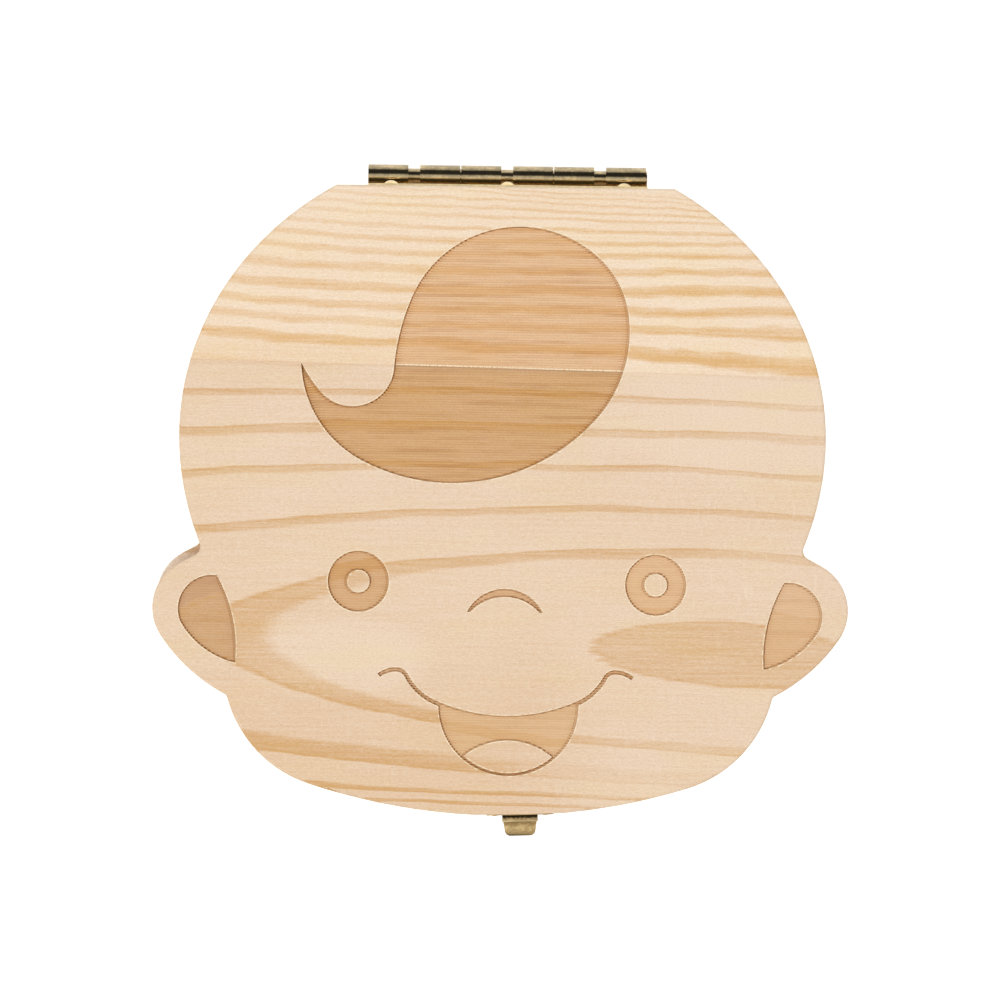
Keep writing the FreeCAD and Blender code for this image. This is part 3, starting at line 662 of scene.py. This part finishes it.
def face_shade(wire, x, y):
    """The face board is darker at the chin's left, and paler at the brow's right and on the left cheek."""
    aside, over = (x - CHEEK_MIDDLE[0]) / CHEEK_AXES[0], (y - CHEEK_MIDDLE[1]) / CHEEK_AXES[1]
    cheek = between(wire, aside * aside + over * over, *CHEEK_FADE) * CHEEK_SHARE
    return shade_over(wire, x, y, CHIN_SHADE) + shade_over(wire, x, y, BROW_SHADE) - cheek


def face_wood(wire, x, y, z):
    """The face board, with a few pale flecks that stand across the grain on its right side."""
    settings = bpy.context.scene.tooth_pine
    colour, height = pine_colour(wire, x, y, z, face_board_rings, settings.earlywood, settings.latewood,
                                 face_shade(wire, x, y))
    fleck = between(wire, stretched_noise(wire, x, y, z, FLECKS, FLECK_PLANE), *FLECK_RANGE)
    fleck = fleck * shade_over(wire, x, y, FLECK_SHADE)
    return mixed(wire, fleck, colour, opaque(settings.crown_earlywood)), height


def crown_wood(wire, x, y, z):
    """The crown board, a little darker at the left of its glued edge."""
    settings = bpy.context.scene.tooth_pine
    return pine_colour(wire, x, y, z, crown_board_rings, settings.crown_earlywood, settings.crown_latewood,
                       shade_over(wire, x, y, CROWN_SHADE))


def base_wood(wire, x, y, z):
    """The base, with rings round a pith of its own."""
    settings = bpy.context.scene.tooth_pine
    return pine_colour(wire, x, y, z, base_rings, settings.base_earlywood, settings.base_latewood)


def pine_finish(name, wood, scorch=None):
    """Sanded pine. The engraved floor, the only level surface under the top, is burnt dark."""
    settings = bpy.context.scene.tooth_pine
    material, shader, wire = new_material(name)
    x, y, z = place_in_millimetres(wire)
    colour, height = wood(wire, x, y, z)
    if scorch:
        normal = wire.node("ShaderNodeNewGeometry", output="Normal")
        level = wire.node("ShaderNodeSeparateXYZ", None, {0: normal}, "Z")
        burnt = (between(wire, level, *SUNK_FACING)
                 * between(wire, z, LID_TOP - SUNK_DEPTH[0], LID_TOP - SUNK_DEPTH[1])
                 * between(wire, z, LID_LOW + SUNK_CLEARANCE[0], LID_LOW + SUNK_CLEARANCE[1]))
        colour = mixed(wire, burnt, colour, opaque(scorch))
    bump = wire.node("ShaderNodeBump", None, {"Strength": 0.25, "Distance": 0.05 * MM, "Height": height})
    plug(shader, {"Base Color": colour, "Roughness": settings.roughness + height * 0.06,
                  "Normal": bump, "Specular IOR Level": 0.3})
    return material


def above_seam(x, y):
    """Height over the glue line, in millimetres."""
    return y - x * SEAM_SLOPE - SEAM_Y


def lid_wood(wire, x, y, z):
    """Each board's own wood on its side of the glue line."""
    crown, crown_height = crown_wood(wire, x, y, z)
    face, face_height = face_wood(wire, x, y, z)
    crown_side = between(wire, above_seam(x, y), -SEAM_HALF, SEAM_HALF)
    return mixed(wire, crown_side, face, crown), (crown_height + face_height) * 0.5


def hair_film(wire, x, y, height):
    """The brown film on the hair: darker below the glue line, and darkest just under it and at the tip.

    The glue itself stays pale, in a broken line.
    """
    settings = bpy.context.scene.tooth_engraving
    over = above_seam(x, y)
    crown_side = between(wire, over, -SEAM_HALF, SEAM_HALF)
    film = mixed(wire, crown_side, opaque(settings.brow_film), opaque(settings.crown_film))
    under = added([between(wire, over, start, end) * share for start, end, share in UNDER_SEAM])
    aside, above = x - HAIR_TIP[0], y - HAIR_TIP[1]
    tip = between(wire, wire.maths("SQRT", aside * aside + above * above), *TIP_FADE) * TIP_BURN
    dark = wire.maths("MAXIMUM", under * (1.0 - crown_side), tip)
    film = mixed(wire, dark, film, opaque(settings.scorch))
    dots = noise(wire, vector(wire, x * GLUE_DOTS_PER_MM, 0.0, GLUE_DOTS_PLANE), detail=1.0)
    line = between(wire, abs(over - GLUE_MIDDLE), *GLUE_EDGES) * between(wire, dots, *GLUE_BREAKS)
    plain = (1.0 - height * HAIR_RESISTS) * settings.hair_film
    share = wire.maths("MAXIMUM", plain, wire.maths("MAXIMUM", dark, line))
    return mixed(wire, line, film, opaque(settings.fibres)), share, settings.hair_rows


def face_film(figure):
    """The brown film of one figure of the face, as a function like hair_film."""
    def film(wire, x, y, height):
        settings = bpy.context.scene.tooth_engraving
        share = (1.0 - height * FACE_RESISTS[figure]) * settings.film
        return opaque(getattr(settings, f"{figure}_film")), share, settings.rows
    return film


def engraved_finish(name, wood, film):
    """The laser's floor: the board's own grain under a brown film, with a line a row.

    Rows darken towards their ends. The walls are scorched in a line, and row by row where they slant.
    Pale fibres stand along the rim.
    """
    settings = bpy.context.scene.tooth_engraving
    pitch = settings.pitch / MM
    material, shader, wire = new_material(name)
    x, y, z = place_in_millimetres(wire)
    colour, height = wood(wire, x, y, z)
    brown, share, rows = film(wire, x, y, height)
    browned = mixed(wire, share, colour, brown)
    row = wire.maths("FLOOR", y / pitch)
    from_middle = abs(wire.maths("FRACT", y / pitch) - 0.5)
    from_end, wall, slant, rim = (
        wire.node("ShaderNodeAttribute", {"attribute_name": attribute}, output="Fac")
        for attribute in ("from_end", "wall", "slant", "rim"))
    place = vector(wire, x * STREAKS_PER_MM, row * STREAKS_PER_ROW, 0.0)
    uneven = noise(wire, place, detail=3.0, roughness=0.65)
    streak = between(wire, uneven, *STREAK_RANGE)
    groove = between(wire, from_middle, *GROOVE_RANGE)
    groove = groove * (between(wire, from_end, *END_FADE) * END_SHARE + GROOVE_SHARE)
    lines = (streak * STREAK_SHARE + groove * (uneven + GROOVE_UNEVEN)) * rows
    deep = mixed(wire, 1.0, browned, opaque(settings.row_tint), "MULTIPLY")
    toned = mixed(wire, clamped(wire, lines), browned, deep)
    breaks = noise(wire, vector(wire, x * BREAKS_PER_MM, y * BREAKS_PER_MM, BREAKS_PLANE))
    spot = between(wire, from_middle, *SPOT_RANGE)
    line = wall * (1.0 - slant * (1.0 - spot)) * between(wire, breaks, *LINE_BREAKS)
    ends = between(wire, from_end, *BURNT_END) * between(wire, breaks, *END_BREAKS) * END_SHARE
    burnt = clamped(wire, wire.maths("MAXIMUM", ends, line))
    floor = mixed(wire, burnt, toned, opaque(settings.scorch))
    bare = mixed(wire, between(wire, breaks, *RIM_BREAKS) * RIM_SHARE, colour, opaque(settings.fibres))
    final = mixed(wire, between(wire, rim, *RIM_EDGE), floor, bare)
    bump = wire.node("ShaderNodeBump", None, {"Strength": 0.2, "Distance": 0.04 * MM, "Height": height})
    plug(shader, {"Base Color": final, "Roughness": 0.8 - burnt * 0.15, "Normal": bump,
                  "Specular IOR Level": 0.1})
    return material


# Engraving meshes


def plan_of_floor(node, floor):
    """Corners and border edges of a board's engraved floor, in millimetres.

    A border edge belongs to one floor triangle only, and has the floor on its left.
    """
    mesh = frame["nodes"][node].data
    points = np.empty(len(mesh.vertices) * 3)
    mesh.vertices.foreach_get("co", points)
    points = points.reshape(-1, 3) / MM
    corners = np.empty(len(mesh.loops), dtype=int)
    mesh.loops.foreach_get("vertex_index", corners)
    triangles = corners.reshape(-1, 3)
    level = np.all(np.abs(points[triangles][:, :, 2] - floor) < LEVEL_TOLERANCE, axis=1)
    plan, welded = np.unique(np.round(points[:, :2], WELD_DECIMALS), axis=0, return_inverse=True)
    triangles = welded.reshape(-1)[triangles[level]]
    edges = np.concatenate([triangles[:, [0, 1]], triangles[:, [1, 2]], triangles[:, [2, 0]]])
    key = np.sort(edges, axis=1)
    _, first, count = np.unique(key, axis=0, return_index=True, return_counts=True)
    return plan, edges[first[count == 1]]


def inside(points, figure):
    """Which points lie in a figure's part of the plan."""
    left, right, low, high = FIGURES[figure]
    x, y = points[..., 0], points[..., 1]
    return (x > left) & (x < right) & (y > low) & (y < high)


def scan_rows(plan, edges, pitch):
    """Every pass of the laser over a floor: its row's height, left end and right end.

    The border is crossed a third of the way up each row, so slanting borders come out stepped.
    """
    start, end = plan[edges[:, 0]], plan[edges[:, 1]]
    heights = plan[edges][:, :, 1]
    low, high = math.floor(heights.min() / pitch), math.ceil(heights.max() / pitch)
    rows = np.arange(low, high + 1) * pitch + pitch * ROW_CROSSING
    crossed = (start[None, :, 1] <= rows[:, None]) != (end[None, :, 1] <= rows[:, None])
    rise = np.where(start[:, 1] == end[:, 1], 1.0, end[:, 1] - start[:, 1])
    share = (rows[:, None] - start[None, :, 1]) / rise[None, :]
    places = np.where(crossed, start[None, :, 0] + share * (end[:, 0] - start[:, 0])[None, :], np.inf)
    places = np.sort(places, axis=1)
    most = int(crossed.sum(axis=1).max()) // 2 * 2
    pairs = places[:, :most].reshape(len(rows), -1, 2)
    middles = np.repeat(rows[:, None], pairs.shape[1], axis=1) + pitch * (0.5 - ROW_CROSSING)
    real = np.isfinite(pairs).all(axis=2)
    return middles[real], pairs[real][:, 0], pairs[real][:, 1]


def row_bars(heights, left, right, pitch, ridge, floor):
    """Closed bars, one a pass: a shallow trough between two ridges, carried along X from end to end.

    Along the bar the stations crowd at both ends; across it the trough is ridge * (2 t - 1)^2.
    """
    stations, across = np.array(BAR_STATIONS), np.array(BAR_ACROSS)
    half = (right - left) / 2
    near = np.minimum(stations[None, :] * BAR_END, half[:, None] * BAR_HALF_SHARE * stations[None, :])
    x = np.concatenate([left[:, None] + near, right[:, None] - near[:, ::-1]], axis=1)
    top = floor + BAR_RISE + ridge * (2 * across - 1) ** 2
    y_profile = np.concatenate([across - 0.5, (0.5, -0.5)]) * pitch
    z_profile = np.concatenate([top, (floor - BAR_SINK, floor - BAR_SINK)])
    count, steps, around = len(left), x.shape[1], len(y_profile)
    shape = (count, steps, around)
    points = np.stack([
        np.broadcast_to(x[:, :, None], shape),
        np.broadcast_to(heights[:, None, None] + y_profile, shape),
        np.broadcast_to(z_profile, shape)], axis=-1).reshape(-1, 3)
    ends = np.minimum(x - left[:, None], right[:, None] - x)
    from_end = np.broadcast_to(ends[:, :, None], shape).reshape(-1)
    index = np.arange(count * steps * around).reshape(shape)
    here, after = index[:, :-1], index[:, 1:]
    quads = np.stack([here, after, np.roll(after, -1, axis=2), np.roll(here, -1, axis=2)], axis=-1)
    caps = np.concatenate([index[:, 0], index[:, -1, ::-1]])
    return points, [quads.reshape(-1, 4).tolist(), caps.tolist()], from_end


def wall_and_rim(plan, edges, draft, rim, floor, top):
    """A band carried along each border, closed all round, with its burn and its paleness at each point.

    It runs from the lip down a scorched wall to a foot that leans in, back under the wood, and up
    again to a rim of pale fibres that stands a few thousandths of a millimetre over the lid.
    """
    used, edges = np.unique(edges, return_inverse=True)
    edges = edges.reshape(-1, 2)
    spots = plan[used]
    run = spots[edges[:, 1]] - spots[edges[:, 0]]
    inward = np.stack([-run[:, 1], run[:, 0]], axis=1)
    inward /= np.maximum(np.linalg.norm(inward, axis=1, keepdims=True), LEAST_LENGTH)
    lean = np.zeros_like(spots)
    np.add.at(lean, edges[:, 0], inward)
    np.add.at(lean, edges[:, 1], inward)
    lean /= np.maximum(np.linalg.norm(lean, axis=1, keepdims=True), LEAST_LENGTH)
    from_right, from_left = np.clip(-lean[:, 0], 0.0, 1.0), np.clip(lean[:, 0], 0.0, 1.0)
    inset = draft * (1.0 + RIGHT_LEAN * from_right)
    count = len(spots)
    foot = floor - FOOT_SINK
    profile = ((LIP_INSET, top - LIP_DROP), (inset / 2, (top + floor) / 2), (inset, foot),
               (-BACK_OUTSET, foot), (-rim, top - RIM_DROP), (-RIM_OUTSET, top + RIM_RISE))
    points = np.concatenate([
        np.column_stack([spots + lean * np.broadcast_to(away, count)[:, None], np.full(count, height)])
        for away, height in profile])
    around = len(profile)
    a, b = edges[:, 0], edges[:, 1]
    sides = [np.stack([a + i * count, a + j * count, b + j * count, b + i * count], axis=1)
             for i, j in zip(range(around), (*range(1, around), 0))]
    ring = np.arange(around) * count
    caps = [np.setdiff1d(a, b)[:, None] + ring[None, ::-1], np.setdiff1d(b, a)[:, None] + ring[None, :]]
    slant = np.clip(SLANT_GAIN * np.abs(lean[:, 0] * lean[:, 1]), 0.0, 1.0)
    strength = BURN + BURN_LEFT * from_left + BURN_RIGHT * from_right + BURN_SLANT * slant
    burn = np.concatenate([strength, strength * (1.0 - RIGHT_MIDDLE_FADE * from_right), strength, strength,
                           np.zeros(2 * count)])
    paleness = np.concatenate([np.zeros(4 * count), np.ones(2 * count)])
    return points, [part.tolist() for part in sides + caps], burn, np.tile(slant, around), paleness


def spread(mesh, name, values):
    """Gives a mesh a number for each of its points."""
    attribute = mesh.attributes.new(name, "FLOAT", "POINT")
    attribute.data.foreach_set("value", values.astype(np.float32))


def borders_of(figure, floor):
    """Corners and borders of one figure over both boards, without the glue line between them."""
    plans, borders = [], []
    for node in ("lid_crown_board", "lid_face_board"):
        plan, edges = plan_of_floor(node, floor)
        over = np.abs(above_seam(plan[:, 0], plan[:, 1]))[edges].max(axis=1)
        wanted = inside(plan[edges].mean(axis=1), figure) & (over > ON_SEAM)
        borders.append(edges[wanted] + sum(len(part) for part in plans))
        plans.append(plan)
    return np.concatenate(plans), np.concatenate(borders)


def engraved_piece(name, figure, wood, film):
    """One figure's floor and walls, as a piece that rides on the lid."""
    settings = bpy.context.scene.tooth_engraving
    pitch, ridge = settings.pitch / MM, settings.ridge / MM
    floor = LID_TOP - settings.depth / MM
    plan, edges = borders_of(figure, floor)
    heights, left, right = scan_rows(plan, edges, pitch)
    long = right - left > ROW_LEAST
    bars = row_bars(heights[long], left[long] + ROW_GAP, right[long] - ROW_GAP, pitch, ridge, floor)
    walls = wall_and_rim(plan, edges, settings.draft / MM, settings.rim / MM, floor, LID_TOP)
    points = np.concatenate([bars[0], walls[0]]) * MM
    shifted = [(np.array(part) + len(bars[0])).tolist() for part in walls[1] if part]
    faces = [face for part in bars[1] + shifted for face in part]
    mesh = bpy.data.meshes.new(name)
    mesh.from_pydata(points.tolist(), [], faces)
    far = np.full(len(walls[2]), FAR_FROM_END)
    spread(mesh, "from_end", np.concatenate([bars[2], far]))
    for attribute, values in zip(("wall", "slant", "rim"), walls[2:]):
        spread(mesh, attribute, np.concatenate([np.zeros(len(bars[2])), values]))
    mesh.materials.append(engraved_finish(name, wood, film))
    piece = bpy.data.objects.new(name, mesh)
    bpy.context.scene.collection.objects.link(piece)
    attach(piece, "lid")


# Brass


def brass_film(wire, x, y, z):
    """A film worn through in patches: its share, and the specks in the metal."""
    cloud = stretched_noise(wire, x, y, z, BRASS_CLOUDS)
    speck = stretched_noise(wire, x, y, z, BRASS_SPECKS)
    return between(wire, cloud * CLOUD_SHARE + speck * (1.0 - CLOUD_SHARE), *WORN_RANGE), speck


def pin_line(joint_name):
    """A point on a joint's pin, in millimetres, and the pin's direction."""
    joint = next(joint for joint in frame["joints"] if joint["name"] == joint_name)
    return [value / MM for value in joint["pos_m"]], joint["axis"]


def brass(wire, shader, colour, roughness, speck):
    """Plugs a brass colour into a metal with fine specks."""
    bump = wire.node("ShaderNodeBump", None, {"Strength": 0.25, "Distance": 0.03 * MM, "Height": speck})
    plug(shader, {"Base Color": colour, "Metallic": 1.0, "Roughness": roughness, "Normal": bump})


def hinge_finish():
    """The hinge's brass: bright, with a patina worn through in patches, and olive on the outer side of the
    knuckles as a painted reflection.
    """
    settings = bpy.context.scene.tooth_brass
    material, shader, wire = new_material("hinge_brass")
    x, y, z = place_in_millimetres(wire)
    worn, speck = brass_film(wire, x, y, z)
    place, _ = pin_line("lid_hinge")
    # Painted reflection: the olive film on the knuckles' outer side stands in for what they reflect
    outer = between(wire, y - place[1], *HINGE_OUTER)
    film = worn * HINGE_WORN_SHARE + outer * (1.0 - HINGE_WORN_SHARE)
    colour = mixed(wire, film, opaque(settings.bright), opaque(settings.patina_and_reflection))
    brass(wire, shader, colour, settings.roughness + film * HINGE_ROUGHENS, speck)
    return material


def clasp_finish():
    """The clasp's brass, duller than the hinge's, with shade painted black round its knuckle and along the
    lip's tip.
    """
    settings = bpy.context.scene.tooth_brass
    material, shader, wire = new_material("clasp_brass")
    x, y, z = place_in_millimetres(wire)
    film, speck = brass_film(wire, x, y, z)
    colour = mixed(wire, film, opaque(settings.clasp_bright), opaque(settings.clasp_patina))
    place, way = pin_line("hasp_swing")
    # Painted shade: the knuckle's hollow and the lip's tip are painted black, where shade falls
    over, up = y - place[1] - (x - place[0]) * (way[1] / way[0]) - SHADE_BEFORE_PIN, z - place[2]
    away = wire.maths("SQRT", over * over + up * up)
    at_pin = between(wire, away + (speck - 0.5) * SHADE_SPECKS, *SHADE_EDGE)
    lip_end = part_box("clasp_hasp")[0].y / MM
    at_lip = between(wire, y, lip_end + LIP_SHADE, lip_end) * LIP_SHADE_SHARE
    painted_shade = wire.maths("MAXIMUM", at_pin, at_lip)
    colour = mixed(wire, painted_shade, colour, opaque(settings.painted_shade))
    brass(wire, shader, colour, settings.clasp_roughness + film * CLASP_ROUGHENS, speck)
    return material


def dress(node, material):
    """Gives a CAD node its finish."""
    mesh = frame["nodes"][node].data
    mesh.materials.clear()
    mesh.materials.append(material)


# Operators


class ToothBoxPine(bpy.types.Operator):
    """Give the two lid boards and the base their pine"""
    bl_idname = "toothbox.pine"
    bl_label = "Pine boards"

    def execute(self, context):
        scorch = context.scene.tooth_engraving.scorch
        dress("lid_face_board", pine_finish("pine_face", face_wood, scorch))
        dress("lid_crown_board", pine_finish("pine_crown", crown_wood, scorch))
        dress("base_block", pine_finish("pine_base", base_wood))
        return {"FINISHED"}


class ToothBoxHair(bpy.types.Operator):
    """Engrave the curl of hair across both boards"""
    bl_idname = "toothbox.hair"
    bl_label = "Hair engraving"

    def execute(self, context):
        engraved_piece("hair_engraving", "hair", lid_wood, hair_film)
        return {"FINISHED"}


class ToothBoxFace(bpy.types.Operator):
    """Engrave the eyes, nose, mouth and ears"""
    bl_idname = "toothbox.face"
    bl_label = "Face engraving"

    def execute(self, context):
        for figure in FACE_RESISTS:
            engraved_piece(f"{figure}_engraving", figure, face_wood, face_film(figure))
        return {"FINISHED"}


class ToothBoxBrass(bpy.types.Operator):
    """Give the hinge and the clasp their antique brass"""
    bl_idname = "toothbox.brass"
    bl_label = "Brass fittings"

    def execute(self, context):
        finishes = {"hinge": hinge_finish(), "clasp": clasp_finish()}
        for node in frame["nodes"]:
            family = node.split("_")[0]
            if family in finishes:
                dress(node, finishes[family])
        return {"FINISHED"}


def soft_lamp(name, place, size, watts):
    """A square soft box that looks at the lid."""
    lamp = bpy.data.lights.new(name, "AREA")
    lamp.shape = "SQUARE"
    lamp.size = size
    lamp.energy = watts
    holder = bpy.data.objects.new(name, lamp)
    holder.location = place
    way = -holder.location
    holder.rotation_euler = way.to_track_quat("-Z", "Y").to_euler()
    bpy.context.scene.collection.objects.link(holder)


def light_path(wire):
    """A ray's facts by name, and whether the camera or a mirror sees what it meets."""
    outputs = wire.node("ShaderNodeLightPath").socket.node.outputs
    path = {socket.name: Wire(wire.tree, socket) for socket in outputs}
    return path, added([path[name] for name in ("Is Camera Ray", "Is Glossy Ray", "Is Transmission Ray")])


def white_floor():
    """A floor that looks white but keeps a faint shadow: part light of its own, part lit.

    It lies a hair under the base, and is clear from below and from close by, so the underside can be seen.
    """
    material = bpy.data.materials.new("white_floor")
    material.use_nodes = True
    wire = Wire(material.node_tree)
    path, seen = light_path(wire)
    lit = wire.node("ShaderNodeBsdfDiffuse", None, {"Color": STAGE_GREY})
    glow = wire.node("ShaderNodeEmission", None, {"Color": WHITE, "Strength": STAGE_GLOW})
    shown = wire.node("ShaderNodeAddShader", None, {0: lit, 1: glow})
    white = wire.node("ShaderNodeMixShader", None, {0: seen, 1: lit, 2: shown})
    below = wire.node("ShaderNodeNewGeometry", output="Backfacing")
    close_by = wire.maths("LESS_THAN", path["Ray Length"], STAGE_CLEAR_WITHIN)
    clear = wire.node("ShaderNodeBsdfTransparent")
    shader = wire.node("ShaderNodeMixShader", None,
                       {0: wire.maths("MAXIMUM", below, close_by), 1: white, 2: clear})
    plug(material.node_tree.nodes["Material Output"], {"Surface": shader})
    corners = [(x * STAGE_HALF, y * STAGE_HALF, STAGE_Z) for x, y in ((-1, -1), (1, -1), (1, 1), (-1, 1))]
    mesh = bpy.data.meshes.new("floor")
    mesh.from_pydata(corners, [], [(0, 1, 2, 3)])
    mesh.materials.append(material)
    floor = bpy.data.objects.new("floor", mesh)
    bpy.context.scene.collection.objects.link(floor)


def studio_sky(strength):
    """Even light from all round. Seen, it is white. Mirrored, it is white with one dark patch."""
    world = bpy.data.worlds.new("studio")
    world.use_nodes = True
    wire = Wire(world.node_tree)
    path, seen = light_path(wire)
    way = wire.node("ShaderNodeTexCoord", output="Generated")
    sockets = {0: way, 1: DARK_SIDE}
    toward = wire.node("ShaderNodeVectorMath", {"operation": "DOT_PRODUCT"}, sockets, "Value")
    shown = 1.0 - between(wire, toward, *DARK_EDGE) * path["Is Glossy Ray"] * DARK_SHARE
    even = wire.node("ShaderNodeBackground", None, {"Color": WHITE, "Strength": strength})
    white = wire.node("ShaderNodeBackground", None, {"Color": WHITE, "Strength": shown})
    shader = wire.node("ShaderNodeMixShader", None, {0: seen, 1: even, 2: white})
    plug(world.node_tree.nodes["World Output"], {"Surface": shader})
    bpy.context.scene.world = world


class ToothBoxStage(bpy.types.Operator):
    """Set the floor, the lamps and the camera"""
    bl_idname = "toothbox.stage"
    bl_label = "Stage"

    def execute(self, context):
        settings = context.scene.tooth_stage
        white_floor()
        studio_sky(settings.sky)
        for lamp in LAMPS:
            soft_lamp(*lamp)
        camera = bpy.data.cameras.new("camera")
        camera.lens = camera.sensor_width * settings.camera_height / settings.frame_width
        holder = bpy.data.objects.new("camera", camera)
        holder.location = (settings.camera_x, 0.0, LID_TOP * MM + settings.camera_height)
        holder.rotation_euler = (0.0, 0.0, settings.camera_roll)
        context.scene.collection.objects.link(holder)
        context.scene.camera = holder
        context.scene.view_settings.view_transform = "Standard"
        return {"FINISHED"}


class ToothBoxPanel(bpy.types.Panel):
    """Lists the steps of the finish"""
    bl_idname = "VIEW3D_PT_tooth_box"
    bl_label = "Tooth box"
    bl_space_type = "VIEW_3D"
    bl_region_type = "UI"
    bl_category = "Tooth box"

    def draw(self, context):
        for operator in OPERATORS:
            self.layout.operator(operator.bl_idname)
        for group in GROUPS:
            settings = getattr(context.scene, group)
            for name in settings.bl_rna.properties.keys():
                if name not in ("rna_type", "name"):
                    self.layout.prop(settings, name)


OPERATORS = (ToothBoxPine, ToothBoxHair, ToothBoxFace, ToothBoxBrass, ToothBoxStage)
GROUPS = {
    "tooth_pine": PineSettings,
    "tooth_engraving": EngravingSettings,
    "tooth_brass": BrassSettings,
    "tooth_stage": StageSettings,
}
CLASSES = (*GROUPS.values(), *OPERATORS, ToothBoxPanel)


def register():
    for item in CLASSES:
        bpy.utils.register_class(item)
    for name, group in GROUPS.items():
        setattr(bpy.types.Scene, name, bpy.props.PointerProperty(type=group))


def unregister():
    for name in GROUPS:
        delattr(bpy.types.Scene, name)
    for item in reversed(CLASSES):
        bpy.utils.unregister_class(item)


def main():
    register()
    bpy.ops.toothbox.pine()
    bpy.ops.toothbox.hair()
    bpy.ops.toothbox.face()
    bpy.ops.toothbox.brass()
    bpy.ops.toothbox.stage()


if __name__ == "__main__":
    main()
